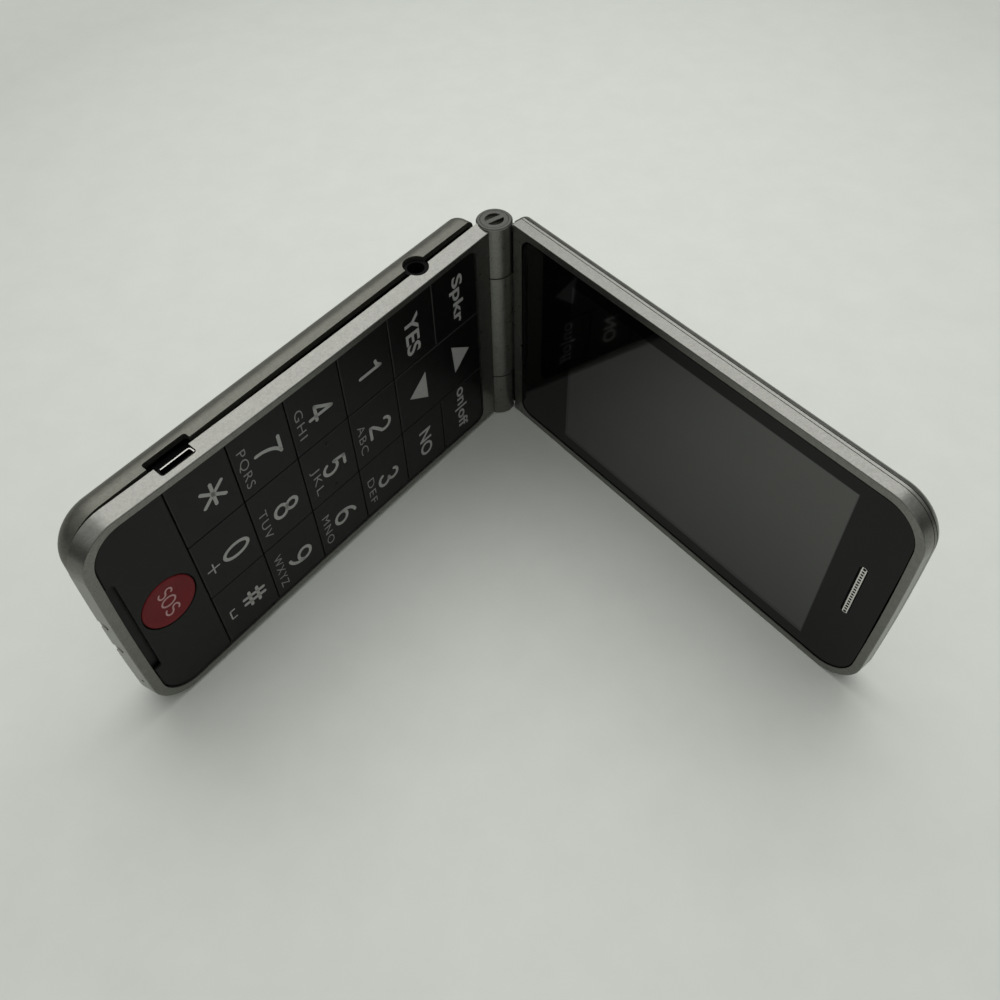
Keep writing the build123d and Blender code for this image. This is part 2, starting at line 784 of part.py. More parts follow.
# Back cover: a tapered tray with speaker slots and the notches of the two sockets
with BuildPart() as back_cover:
    with BuildSketch(cover_plane.offset(cover_edge_level)):
        add(outline(cover_near, cover_reach, half_width, 0, base_corner, 0))
    extrude(amount=cover_back_level - cover_edge_level)
    fillet(back_cover.edges().group_by(up_cover)[0].sort_by(along_cover)[1:], cover_round)
    near_face = back_cover.faces().sort_by(along_cover)[0]
    fillet(near_face.edges().sort_by(up_cover)[:-1], cover_near_round)
    offset(amount=-cover_wall, openings=back_cover.faces().sort_by(up_cover)[-1])
    with BuildSketch(cover_plane.offset(cover_back_level)):
        with Locations((speaker_centre, 0)):
            with GridLocations(slot_pitch, 0, slot_count, 1):
                SlotOverall(slot_length, slot_width, rotation=90)
    extrude(amount=cover_wall, mode=Mode.SUBTRACT)
    with BuildSketch(base_section(phone_width)):
        with Locations((jack_centre, jack_level)):
            Circle(jack_collar_radius + jack_opening_gap)
    extrude(amount=-2 * cover_wall, mode=Mode.SUBTRACT)
    with BuildSketch(base_section(phone_width)):
        with Locations((usb_centre, front_bottom)):
            plug_relief_height = 2 * (plug_relief_depth + body_gap) + usb_height / 2
            RectangleRounded(plug_relief_width, plug_relief_height, usb_corner)
    extrude(amount=-2 * cover_wall, mode=Mode.SUBTRACT)
save(back_cover, "back_cover")

# Headset socket: body with a round collar and a blind bore for the plug
with BuildPart() as headset_jack:
    with BuildSketch(base_section(phone_width - jack_recess)):
        with Locations((jack_centre, jack_level)):
            Circle(jack_collar_radius)
    extrude(amount=-jack_collar_length)
    with BuildSketch(base_section(phone_width - jack_recess - jack_collar_length)):
        with Locations((jack_centre, jack_level)):
            Rectangle(2 * jack_body_half, 2 * jack_body_half)
    extrude(amount=-jack_body_length)
    with BuildSketch(base_section(phone_width - jack_recess)):
        with Locations((jack_centre, jack_level)):
            Circle(jack_bore_radius)
    extrude(amount=-jack_bore_length, mode=Mode.SUBTRACT)
save(headset_jack, "headset_jack")

# Side socket: a sheet shell with a tongue inside
with BuildPart() as usb_port:
    with BuildSketch(base_section(phone_width - usb_recess)):
        with Locations((usb_centre, usb_level)):
            RectangleRounded(usb_width, usb_height, usb_corner)
            RectangleRounded(usb_width - 2 * usb_sheet, usb_height - 2 * usb_sheet, usb_corner - usb_sheet,
                             mode=Mode.SUBTRACT)
    extrude(amount=-usb_depth)
    with BuildSketch(base_section(phone_width - usb_recess - usb_depth)):
        with Locations((usb_centre, usb_level)):
            RectangleRounded(usb_width, usb_height, usb_corner)
    extrude(amount=2 * usb_sheet)
    with BuildSketch(base_section(phone_width - usb_recess - usb_depth)):
        with Locations((usb_centre, usb_level)):
            Rectangle(usb_tongue_width, usb_tongue_thickness)
    extrude(amount=usb_tongue_length)
save(usb_port, "usb_port")

# Housing screws: four equal screws from the floor of the rear housing into the bosses
with BuildPart() as housing_screws:
    with BuildSketch(base_plane.offset(bay_top)):
        with Locations(*base_screws):
            Circle(screw_head_radius)
    extrude(amount=-screw_head_height)
    with BuildSketch(base_plane.offset(bay_top)):
        with Locations(*base_screws):
            Circle(screw_radius)
    extrude(amount=ledge_bottom - body_gap - bay_top)
    with BuildSketch(base_plane.offset(bay_top - screw_head_height)):
        with Locations(*base_screws):
            Rectangle(2 * screw_radius, screw_slot_width)
            Rectangle(screw_slot_width, 2 * screw_radius)
    extrude(amount=screw_head_height / 2, mode=Mode.SUBTRACT)
save(housing_screws, "housing_screws")

# Hinge caps: discs in the barrel's ends, with a D-shaped opening on each side of a bar
cap_bar = Plane.XY.rotated((0, 0, cap_bar_angle))
for name, height in (("hinge_cap_lower", 0), ("hinge_cap_upper", phone_width - cap_thickness)):
    with BuildPart() as hinge_cap:
        with BuildSketch(cap_bar.offset(height)):
            Circle(cap_radius)
            Circle(cap_slot_radius, mode=Mode.SUBTRACT)
            Rectangle(2 * cap_slot_radius + cap_groove, cap_bar_width)
        extrude(amount=cap_thickness)
    save(hinge_cap, name)

# Hinge cartridge: a case in the upper knuckle with spring discs round the shaft
with BuildPart() as hinge_cartridge:
    case_radius = barrel_bore - seat_gap
    case_length = phone_width - cap_thickness - seat_gap - upper_start
    with BuildSketch(Plane.XY.offset(upper_start)):
        Circle(case_radius)
        Circle(case_radius - case_wall, mode=Mode.SUBTRACT)
    extrude(amount=case_length)
    with BuildSketch(Plane.XY.offset(upper_start + case_length)):
        Circle(case_radius)
    extrude(amount=-case_end)
    with BuildSketch(Plane.XY.offset(upper_start)):
        Circle(case_radius)
        Circle(shaft_radius + shaft_clearance, mode=Mode.SUBTRACT)
    extrude(amount=case_end)
    for disc in range(1, spring_discs + 1):
        with BuildSketch(Plane.XY.offset(upper_start + disc * case_length / (spring_discs + 1))):
            Circle(case_radius)
            Circle(shaft_radius + disc_clearance, mode=Mode.SUBTRACT)
        extrude(amount=disc_thickness)
save(hinge_cartridge, "hinge_cartridge")

# Hinge cam: fixed in the middle knuckle, with the shaft that turns in the cartridge
with BuildPart() as hinge_cam:
    with BuildSketch(Plane.XY.offset(middle_top)):
        Circle(barrel_bore - seat_gap)
    extrude(amount=-cam_length)
    with BuildSketch(Plane.XY.offset(middle_top)):
        Circle(shaft_radius)
    extrude(amount=knuckle_gap + case_length - case_end - body_gap)
save(hinge_cam, "hinge_cam")

# Hinge bush: hollow, seated in the lower knuckle and reaching into the middle one
with BuildPart() as hinge_bush:
    with BuildSketch(Plane.XY.offset(lower_end)):
        Circle(barrel_bore - seat_gap)
    extrude(amount=cap_thickness + seat_gap - lower_end)
    with BuildSketch(Plane.XY.offset(lower_end)):
        Circle(barrel_bore - fit_gap)
    extrude(amount=knuckle_gap + bush_engagement)
    with BuildSketch(Plane.XY):
        Circle(bush_bore)
    extrude(amount=middle_bottom + bush_engagement, mode=Mode.SUBTRACT)
save(hinge_bush, "hinge_bush")

# Flat cable rolled inside the middle knuckle, between the bush and the cam
with BuildPart() as flex_cable:
    flex_start = middle_bottom + bush_engagement + body_gap
    flex_end = middle_top - cam_length - body_gap
    with BuildSketch(Plane.XY.offset(flex_start)):
        with BuildLine():
            CenterArc((0, 0), flex_outer_radius - flex_thickness / 2, 0, 360 - flex_gap_angle)
        trace(line_width=flex_thickness)
    extrude(amount=flex_end - flex_start)
save(flex_cable, "flex_cable")

# Lid frame: the frame round the screen glass, with the middle knuckle on a web
with BuildPart() as lid_frame:
    with BuildSketch(lid_plane.offset(lid_rim_level)):
        add(lid_outline(0, lid_near_corner))
    extrude(amount=lid_parting - lid_rim_level)
    fillet(lid_frame.edges().group_by(up_lid)[-1], lid_rim_round)
    with BuildSketch(lid_plane.offset(lid_rim_level)):
        add(glass_outline(0))
    extrude(amount=lid_floor_level - lid_rim_level, mode=Mode.SUBTRACT)
    with BuildSketch(lid_plane.offset(lid_rim_level)):
        with Locations((display_centre, 0)):
            Rectangle(
                display_length + 2 * (display_border + bay_gap), display_width + 2 * (display_border + bay_gap)
            )
        with Locations((camera_centre, 0)):
            Rectangle(camera_body + 2 * bay_gap, camera_body + 2 * bay_gap)
        with Locations((earpiece_centre, 0)):
            Rectangle(earpiece_body_width + 2 * bay_gap, earpiece_length + 2 * bay_gap)
        with Locations((magnet_centre, magnet_across)):
            Rectangle(magnet_size + 2 * bay_gap, magnet_size + 2 * bay_gap)
    extrude(amount=lid_parting - lid_rim_level, mode=Mode.SUBTRACT)
    with BuildSketch(lid_plane.offset(lid_floor_level)):
        with Locations(*lid_screws_at):
            Circle(screw_head_radius + socket_gap)
    extrude(amount=-screw_head_height, mode=Mode.SUBTRACT)
    with BuildSketch(lid_plane.offset(lid_floor_level)):
        with Locations(*lid_screws_at):
            Circle(screw_radius + socket_gap)
    extrude(amount=lid_parting - lid_floor_level, mode=Mode.SUBTRACT)
    with BuildSketch(Plane.XY):
        Circle(shell_circle)
    extrude(amount=phone_width, mode=Mode.SUBTRACT)
    with BuildSketch(Plane.XY.offset(middle_bottom)):
        Circle(barrel_radius)
    extrude(amount=middle_knuckle_length)
    with BuildSketch(lid_section(middle_top)):
        with Locations((web_inside, lid_rim_level - web_drop)):
            Rectangle(web_reach - web_inside, web_thickness, align=(Align.MIN, Align.MAX))
    extrude(amount=middle_knuckle_length)
    with BuildSketch(Plane.XY):
        Circle(barrel_bore)
    extrude(amount=phone_width, mode=Mode.SUBTRACT)
save(lid_frame, "lid_frame")

# Lid back cover: the outer shell, with recesses for its two windows and bosses for the screws
with BuildPart() as lid_back_cover:
    with BuildSketch(lid_plane.offset(lid_cover_top)):
        add(lid_outline(0, 0))
    extrude(amount=lid_back_level - lid_cover_top)
    fillet(lid_back_cover.edges().group_by(up_lid)[0].sort_by(along_lid)[1:], lid_back_round)
    near_face = lid_back_cover.faces().sort_by(along_lid)[0]
    fillet(near_face.edges().sort_by(up_lid)[:-1], lid_near_corner)
    offset(amount=-lid_wall, openings=lid_back_cover.faces().sort_by(up_lid)[-1])
    with BuildSketch(lid_plane.offset(lid_groove_level)):
        add(lid_outline(0, 0))
        add(lid_outline(lid_groove_depth, lid_near_corner - lid_groove_depth), mode=Mode.SUBTRACT)
    extrude(amount=-lid_groove_width, mode=Mode.SUBTRACT)
    with BuildSketch(lid_plane.offset(lid_inside)):
        with Locations(*lid_screws_at):
            Circle(boss_radius)
    extrude(amount=lid_cover_top - lid_inside)
    with BuildSketch(lid_plane.offset(lid_cover_top)):
        with Locations(*lid_screws_at):
            Circle(screw_radius + seat_gap)
    extrude(amount=lid_inside - lid_cover_top, mode=Mode.SUBTRACT)
    with BuildSketch(lid_plane.offset(lid_back_level)):
        with Locations((outer_window_centre, 0)):
            RectangleRounded(
                outer_window_length + 2 * glass_gap, outer_window_width + 2 * glass_gap, outer_window_corner
            )
    extrude(amount=outer_window_thickness, mode=Mode.SUBTRACT)
    with BuildSketch(lid_plane.offset(lid_back_level)):
        with Locations((outer_window_centre, 0)):
            Rectangle(
                outer_window_length - 2 * outer_window_ledge, outer_window_width - 2 * outer_window_ledge
            )
    extrude(amount=lid_wall, mode=Mode.SUBTRACT)
    with BuildSketch(lid_plane.offset(lid_back_level)):
        with Locations((camera_centre, 0)):
            Circle(camera_window_radius + glass_gap)
    extrude(amount=camera_window_thickness, mode=Mode.SUBTRACT)
    with BuildSketch(lid_plane.offset(lid_back_level)):
        with Locations((camera_centre, 0)):
            Circle(camera_lens_radius + body_gap)
        with Locations((camera_centre, flash_across)):
            Circle(flash_radius + glass_gap)
    extrude(amount=lid_wall, mode=Mode.SUBTRACT)
save(lid_back_cover, "lid_back_cover")

# Screen glass with the slot of the earpiece
with BuildPart() as screen_glass:
    with BuildSketch(lid_plane.offset(glass_level)):
        add(glass_outline(glass_gap))
    extrude(amount=-glass_thickness)
    chamfer(screen_glass.edges().group_by(up_lid)[-1], glass_chamfer)
    with BuildSketch(lid_plane.offset(glass_level)):
        with Locations((earpiece_centre, 0)):
            SlotOverall(earpiece_length, earpiece_width, rotation=90)
    extrude(amount=-glass_thickness, mode=Mode.SUBTRACT)
save(screen_glass, "screen_glass")

# Display module behind the glass
with BuildPart() as display_module:
    with BuildSketch(lid_plane.offset(lid_floor_level)):
        with Locations((display_centre, 0)):
            Rectangle(display_length + 2 * display_border, display_width + 2 * display_border)
    extrude(amount=-display_thickness)
save(display_module, "display_module")

# Earpiece grille: a strip with a row of slits, set in the slot of the glass
with BuildPart() as earpiece_grille:
    with BuildSketch(lid_plane.offset(glass_level - grille_drop)):
        with Locations((earpiece_centre, 0)):
            SlotOverall(earpiece_length - 2 * seat_gap, earpiece_width - 2 * seat_gap, rotation=90)
            with GridLocations(0, (earpiece_length - earpiece_width) / grille_slits, 1, grille_slits):
                Rectangle(earpiece_width - 2 * grille_rim, grille_slit_width, mode=Mode.SUBTRACT)
    extrude(amount=-grille_thickness)
save(earpiece_grille, "earpiece_grille")

# Earpiece speaker behind the grille
with BuildPart() as earpiece_speaker:
    with BuildSketch(lid_plane.offset(lid_floor_level)):
        with Locations((earpiece_centre, 0)):
            Rectangle(earpiece_body_width, earpiece_length)
    extrude(amount=-earpiece_thickness)
save(earpiece_speaker, "earpiece_speaker")

# Lid board between the two displays
with BuildPart() as lid_board:
    with BuildSketch(lid_plane.offset(lid_board_top)):
        with Locations((display_centre, 0)):
            Rectangle(display_length, display_width)
    extrude(amount=-lid_board_thickness)
save(lid_board, "lid_board")

# Outer display, which shows through the window in the back of the lid
with BuildPart() as outer_display:
    with BuildSketch(lid_plane.offset(lid_board_top - lid_board_thickness - seat_gap)):
        with Locations((outer_window_centre, 0)):
            Rectangle(
                outer_window_length - 2 * (outer_window_ledge + bay_gap),
                outer_window_width - 2 * (outer_window_ledge + bay_gap)
            )
    extrude(amount=-outer_display_thickness)
save(outer_display, "outer_display")

# Outer window, flush with the back of the lid
with BuildPart() as outer_window:
    with BuildSketch(lid_plane.offset(lid_back_level)):
        with Locations((outer_window_centre, 0)):
            RectangleRounded(outer_window_length, outer_window_width, outer_window_corner)
    extrude(amount=outer_window_thickness)
save(outer_window, "outer_window")

# Camera window over the camera's lens
with BuildPart() as camera_window:
    with BuildSketch(lid_plane.offset(lid_back_level)):
        with Locations((camera_centre, 0)):
            Circle(camera_window_radius)
    extrude(amount=camera_window_thickness)
save(camera_window, "camera_window")

# Camera module: a square body with a round lens that looks out of the back of the lid
with BuildPart() as camera_module:
    with BuildSketch(lid_plane.offset(lid_inside + seat_gap)):
        with Locations((camera_centre, 0)):
            Rectangle(camera_body, camera_body)
    extrude(amount=lid_floor_level - lid_inside - 2 * seat_gap)
    with BuildSketch(lid_plane.offset(lid_inside + seat_gap)):
        with Locations((camera_centre, 0)):
            Circle(camera_lens_radius)
    extrude(amount=lid_back_level + camera_window_thickness - lid_inside)
save(camera_module, "camera_module")

# Lamp beside the camera: a round lens on a square base
with BuildPart() as flash_led:
    with BuildSketch(lid_plane.offset(lid_back_level + seat_gap)):
        with Locations((camera_centre, flash_across)):
            Circle(flash_radius)
    extrude(amount=lid_wall)
    with BuildSketch(lid_plane.offset(lid_inside + seat_gap)):
        with Locations((camera_centre, flash_across)):
            Rectangle(flash_base, flash_base)
    extrude(amount=flash_base_thickness)
save(flash_led, "flash_led")

# Magnet that works the lid switch
with BuildPart() as lid_magnet:
    with BuildSketch(lid_plane.offset(lid_floor_level)):
        with Locations((magnet_centre, magnet_across)):
            Rectangle(magnet_size, magnet_size)
    extrude(amount=-magnet_thickness)
save(lid_magnet, "lid_magnet")

# Lid screws: four equal screws sunk in the frame under the glass
with BuildPart() as lid_screws:
    with BuildSketch(lid_plane.offset(lid_floor_level - screw_head_height)):
        with Locations(*lid_screws_at):
            Circle(screw_head_radius)
    extrude(amount=screw_head_height - seat_gap)
    with BuildSketch(lid_plane.offset(lid_floor_level - screw_head_height)):
        with Locations(*lid_screws_at):
            Circle(screw_radius)
    extrude(amount=lid_inside + body_gap - lid_floor_level + screw_head_height)
    with BuildSketch(lid_plane.offset(lid_floor_level - seat_gap)):
        with Locations(*lid_screws_at):
            Rectangle(2 * screw_radius, screw_slot_width)
            Rectangle(screw_slot_width, 2 * screw_radius)
    extrude(amount=-screw_head_height / 2, mode=Mode.SUBTRACT)
save(lid_screws, "lid_screws")
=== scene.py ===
import math

import bpy
import numpy as np
from mathutils import Matrix, Vector


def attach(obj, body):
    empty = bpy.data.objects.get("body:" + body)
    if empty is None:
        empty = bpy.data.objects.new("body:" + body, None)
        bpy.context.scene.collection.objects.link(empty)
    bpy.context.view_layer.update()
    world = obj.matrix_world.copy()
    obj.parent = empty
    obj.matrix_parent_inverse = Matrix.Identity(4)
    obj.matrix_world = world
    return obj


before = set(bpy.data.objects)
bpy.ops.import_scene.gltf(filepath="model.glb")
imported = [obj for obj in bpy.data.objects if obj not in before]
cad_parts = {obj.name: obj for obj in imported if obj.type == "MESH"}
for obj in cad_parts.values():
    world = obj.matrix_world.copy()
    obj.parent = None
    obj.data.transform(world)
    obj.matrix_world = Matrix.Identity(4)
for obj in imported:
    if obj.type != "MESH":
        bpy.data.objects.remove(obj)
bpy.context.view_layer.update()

# Painted shells.
# Frame, back cover and lid shells of moulded polycarbonate, sprayed with a grey metallic
# lacquer. The two shells of each half snap and screw together.
MM = 0.001


def linear(code):
    """Linear colour with alpha of an sRGB hex value."""
    srgb = np.array([int(code[i:i + 2], 16) for i in (1, 3, 5)]) / 255
    return (*np.where(srgb <= 0.04045, srgb / 12.92, ((srgb + 0.055) / 1.055) ** 2.4), 1.0)


def add_node(tree, kind, settings, sockets):
    """Adds a node. A socket's value is a number, a colour, or an output to link."""
    node = tree.nodes.new(kind)
    for name, value in settings.items():
        setattr(node, name, value)
    for name, value in sockets.items():
        if isinstance(value, bpy.types.NodeSocket):
            tree.links.new(value, node.inputs[name])
        else:
            node.inputs[name].default_value = value
    return node


def finish(name, colours, grain, roughness, relief, **fixed):
    """Material with a mottled colour, roughness and relief.

    Two noises run over Object coordinates. The first, of the grain in millimetres, mixes the
    two colours and moves the roughness between its two values. The second, four times finer,
    raises the surface by the relief in millimetres. What is fixed goes on the shader's sockets.
    """
    material = bpy.data.materials.new(name)
    material.use_nodes = True
    tree = material.node_tree
    shader = tree.nodes["Principled BSDF"]
    place = add_node(tree, "ShaderNodeTexCoord", {}, {}).outputs["Object"]
    mottle = add_node(tree, "ShaderNodeTexNoise", {}, {
        "Vector": place, "Scale": 1 / (grain * MM), "Detail": 3.0, "Roughness": 0.6})
    spread = add_node(tree, "ShaderNodeMapRange", {}, {
        "Value": mottle.outputs["Fac"], "From Min": 0.3, "From Max": 0.7})
    blend = add_node(tree, "ShaderNodeMix", {"data_type": "RGBA"}, {
        0: spread.outputs["Result"], 6: linear(colours[0]), 7: linear(colours[1])})
    gloss = add_node(tree, "ShaderNodeMapRange", {}, {
        "Value": mottle.outputs["Fac"], "From Min": 0.3, "From Max": 0.7,
        "To Min": roughness[0], "To Max": roughness[1]})
    pores = add_node(tree, "ShaderNodeTexNoise", {}, {
        "Vector": place, "Scale": 4 / (grain * MM), "Detail": 2.0})
    bump = add_node(tree, "ShaderNodeBump", {}, {
        "Strength": 1.0, "Distance": relief * MM, "Height": pores.outputs["Fac"]})
    tree.links.new(blend.outputs[2], shader.inputs["Base Color"])
    tree.links.new(gloss.outputs["Result"], shader.inputs["Roughness"])
    tree.links.new(bump.outputs["Normal"], shader.inputs["Normal"])
    for socket, value in fixed.items():
        shader.inputs[socket.replace("_", " ")].default_value = value
    return material


def wear(material, *names):
    """Gives CAD nodes that keep their shape this material."""
    for name in names:
        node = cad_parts[name]
        node.data.materials.clear()
        node.data.materials.append(material)


phone_width = 55.0
half_width = phone_width / 2
barrel_shade_radius, end_shade_depth, edge_blur = 3.8, 0.75, 0.05


def sprayed(name, colours, roughness):
    """Metallic lacquer: a finish with aluminium flakes, and painted shade on the ends of the hinge
    barrel.

    Each cell of a Voronoi pattern is a flake with a random shade. The barrel's end discs are darkened
    as painted shade. They are told by their distance from the hinge axis, and by how near they are to
    the long sides.
    """
    lacquer = finish(name, colours, 1.6, roughness, 0.0006, Metallic=0.85)
    tree = lacquer.node_tree
    place = tree.nodes["Texture Coordinate"].outputs["Object"]
    flakes = add_node(tree, "ShaderNodeTexVoronoi", {}, {"Vector": place, "Scale": 1 / (0.3 * MM)})
    flake = add_node(tree, "ShaderNodeSeparateColor", {}, {"Color": flakes.outputs["Color"]})
    glint = add_node(tree, "ShaderNodeMapRange", {}, {
        "Value": flake.outputs["Red"], "To Min": 0.9, "To Max": 1.08})
    level_place = add_node(tree, "ShaderNodeVectorMath", {"operation": "MULTIPLY"}, {
        0: place, 1: (1.0, 1.0, 0.0)})
    off_axis = add_node(tree, "ShaderNodeVectorMath", {"operation": "LENGTH"}, {
        0: level_place.outputs["Vector"]})
    # Painted shade on the barrel's end discs: darkened inside the barrel's radius and near the long
    # sides.
    in_barrel = add_node(tree, "ShaderNodeMapRange", {}, {
        "Value": off_axis.outputs["Value"], "From Min": (barrel_shade_radius - edge_blur) * MM,
        "From Max": (barrel_shade_radius + edge_blur) * MM, "To Min": 1.0, "To Max": 0.0})
    height = add_node(tree, "ShaderNodeSeparateXYZ", {}, {"Vector": place})
    off_middle = add_node(tree, "ShaderNodeMath", {"operation": "SUBTRACT"}, {
        0: height.outputs["Z"], 1: half_width * MM})
    from_middle = add_node(tree, "ShaderNodeMath", {"operation": "ABSOLUTE"}, {
        0: off_middle.outputs["Value"]})
    at_end = add_node(tree, "ShaderNodeMapRange", {}, {
        "Value": from_middle.outputs["Value"], "From Min": (half_width - end_shade_depth - edge_blur) * MM,
        "From Max": (half_width - end_shade_depth + edge_blur) * MM})
    end_disc = add_node(tree, "ShaderNodeMath", {"operation": "MULTIPLY"}, {
        0: in_barrel.outputs["Result"], 1: at_end.outputs["Result"]})
    end_shade = add_node(tree, "ShaderNodeMapRange", {}, {
        "Value": end_disc.outputs["Value"], "To Min": 1.0, "To Max": 0.32})
    dimming = add_node(tree, "ShaderNodeMath", {"operation": "MULTIPLY"}, {
        0: glint.outputs["Result"], 1: end_shade.outputs["Result"]})
    shade = add_node(tree, "ShaderNodeMix", {"data_type": "RGBA", "blend_type": "MULTIPLY"}, {
        0: 1.0, 6: tree.nodes["Mix"].outputs[2], 7: dimming.outputs["Value"]})
    tree.links.new(shade.outputs[2], tree.nodes["Principled BSDF"].inputs["Base Color"])
    return lacquer


# Grey metallic lacquer: flakes of 0.3 mm, drawn coarser than the real ones so that they show.
# They give the satin sparkle, and the shells' bright top edges. The battery cover's coat is
# duller and darker.
wear(sprayed("sprayed_metallic_lacquer", ("#777772", "#7e7e79"), (0.27, 0.33)), "front_housing",
     "lid_frame", "lid_back_cover", "hinge_cap_upper", "hinge_cap_lower", "volume_rocker")
wear(sprayed("matt_metallic_lacquer", ("#63635c", "#6a6a62"), (0.44, 0.5)), "back_cover")

# Inner housing, sockets and parts behind the openings.
# Black parts that show in the slit between the shells: moulded ABS with a fine spark-eroded
# texture, which keeps them a soft dark black.
black_abs = finish("moulded_black_abs", ("#030303", "#050505"), 0.6, (0.66, 0.78), 0.004,
                   Specular_IOR_Level=0.1)
wear(black_abs, "rear_housing", "headset_jack", "battery_contacts", "loudspeaker",
     "microphone", "sim_holder", "earpiece_speaker", "camera_module")

# Nickel-plated steel of the board's shield, the screws, the hinge parts and other small
# fittings: bright, with a faint rolled grain.
nickel = finish("nickel_plated_steel", ("#c9c7c2", "#d6d4cf"), 0.8, (0.18, 0.28), 0.001,
                Metallic=1.0)
wear(nickel, "shield_can", "housing_screws", "lid_screws", "vibration_motor",
     "hinge_cartridge", "hinge_cam", "lid_magnet")

# Side socket.
# The steel shell is bright only on its lip, 1.1 mm under the long side. Below the lip the colour is
# black: the moulded tongue is black, and on the shell's walls the black is painted shade.
socket_recess, bright_depth = 1.1, 0.04
lip_height = phone_width - socket_recess
socket = finish("socket_lip_tongue_and_painted_shade", ("#96948f", "#a3a19c"), 0.8, (0.22, 0.3), 0.001)
tree = socket.node_tree
shader = tree.nodes["Principled BSDF"]
height = add_node(tree, "ShaderNodeSeparateXYZ", {}, {
    "Vector": tree.nodes["Texture Coordinate"].outputs["Object"]})
on_lip = add_node(tree, "ShaderNodeMapRange", {}, {
    "Value": height.outputs["Z"], "From Min": (lip_height - bright_depth - 0.08) * MM,
    "From Max": (lip_height - bright_depth) * MM})
# Painted shade: below the lip the shell's walls are coloured black and lose their metal.
shade = add_node(tree, "ShaderNodeMix", {"data_type": "RGBA"}, {
    0: on_lip.outputs["Result"], 6: linear("#030303"), 7: tree.nodes["Mix"].outputs[2]})
tree.links.new(shade.outputs[2], shader.inputs["Base Color"])
tree.links.new(on_lip.outputs["Result"], shader.inputs["Metallic"])
wear(socket, "usb_port")

# Layers inside the two halves.
# They are closed in and show only through gaps: the soft mat, the domes on their film, the
# boards with green solder mask, the foil-wrapped battery, the hinge bush, the rolled cable.
wear(finish("silicone_rubber", ("#141414", "#1a1a19"), 2.0, (0.6, 0.75), 0.004), "keypad_mat")
wear(finish("spring_steel_domes", ("#a9a7a2", "#bdbbb6"), 1.0, (0.25, 0.35), 0.001,
            Metallic=1.0), "dome_sheet")
wear(finish("solder_masked_board", ("#123a22", "#17452a"), 3.0, (0.35, 0.5), 0.003),
     "main_board", "lid_board")
wear(finish("battery_foil", ("#84857f", "#8e8f89"), 5.0, (0.3, 0.4), 0.003, Metallic=0.6),
     "battery")
wear(finish("acetal_bush", ("#191919", "#222221"), 1.5, (0.4, 0.5), 0.002), "hinge_bush")
wear(finish("polyimide_cable_film", ("#6d3d12", "#7b4717"), 2.0, (0.3, 0.4), 0.002),
     "flex_cable")

# Keys and lower panel.
# Polycarbonate caps with a satin hard coat, cut so that they lie flush with the fixed panel.
# Their edges are bevelled, and thin dark gaps part them.
key_face = 1.15
key_coat = finish("satin_black_polycarbonate", ("#070707", "#0b0b0a"), 2.4, (0.36, 0.44), 0.0015,
                  Specular_IOR_Level=0.22)

# The bevels and sides of the keys are coloured a paler grey, a painted highlight where the bevels catch
# the light, so the joints between the keys read as soft lines. They are told from the faces by how far
# they lean off the face's direction.
opening = math.radians(78.6)
half_turn = opening / 2
base_out = np.array([-math.sin(half_turn), -math.cos(half_turn), 0])
base_up = np.array([math.cos(half_turn), -math.sin(half_turn), 0])
tree = key_coat.node_tree
lean = add_node(tree, "ShaderNodeVectorMath", {"operation": "DOT_PRODUCT"}, {
    0: tree.nodes["Texture Coordinate"].outputs["Normal"], 1: base_up.tolist()})
on_edge = add_node(tree, "ShaderNodeMapRange", {}, {
    "Value": lean.outputs["Value"], "From Min": 0.9, "From Max": 0.98,
    "To Min": 1.0, "To Max": 0.0})
bevel_highlight = add_node(tree, "ShaderNodeMix", {"data_type": "RGBA"}, {
    0: on_edge.outputs["Result"], 6: tree.nodes["Mix"].outputs[2], 7: linear("#2c2d2b")})
tree.links.new(bevel_highlight.outputs[2], tree.nodes["Principled BSDF"].inputs["Base Color"])

# The finger recess at the panel's far edge is coloured a dull black: painted shade in the recess.
panel_coat = key_coat.copy()
panel_coat.name = "satin_black_panel"
tree = panel_coat.node_tree
over_axis = add_node(tree, "ShaderNodeVectorMath", {"operation": "DOT_PRODUCT"}, {
    0: tree.nodes["Texture Coordinate"].outputs["Object"], 1: base_up.tolist()})
recess_shade = add_node(tree, "ShaderNodeMapRange", {}, {
    "Value": over_axis.outputs["Value"], "From Min": (key_face - 0.6) * MM,
    "From Max": (key_face - 0.3) * MM, "To Min": 1.0, "To Max": 0.0})
shade = add_node(tree, "ShaderNodeMix", {"data_type": "RGBA"}, {
    0: recess_shade.outputs["Result"], 6: tree.nodes[bevel_highlight.name].outputs[2], 7: linear("#020202")})
tree.links.new(shade.outputs[2], tree.nodes["Principled BSDF"].inputs["Base Color"])
wear(panel_coat, "lower_panel")
key_names = ["speaker", "power", "yes", "no", *"123456789", "star", "0", "hash"]
wear(key_coat, "nav_key", *("key_" + name for name in key_names))

# Red button.
# Moulded tinted acrylic with a shallow dish for the finger. Its shine is a little softer than
# that of the keys.
wear(finish("red_tinted_acrylic", ("#701f23", "#7a2529"), 2.0, (0.4, 0.48), 0.001,
            Specular_IOR_Level=0.12), "red_button")

# Legends.
# Pad-printed light grey ink, laid on each cap as a film. Digits and signs are round-ended
# strokes, and the small letters and the words are set in plain type.
upwards = np.array([0, 0, 1])
ink_film = 0.03
ink = finish("pad_printed_ink", ("#a6a6a4", "#b0b0ae"), 0.5, (0.45, 0.6), 0.001)
faint_ink = finish("pad_printed_fine_ink", ("#868684", "#90908e"), 0.5, (0.45, 0.6), 0.001)


def on_base(reach, z, level):
    """Points in metres, from millimetres along the base, up the phone and over the hinge axis."""
    reach, z, level = np.broadcast_arrays(reach, z, level)
    return MM * (reach[..., None] * base_out + level[..., None] * base_up + z[..., None] * upwards)


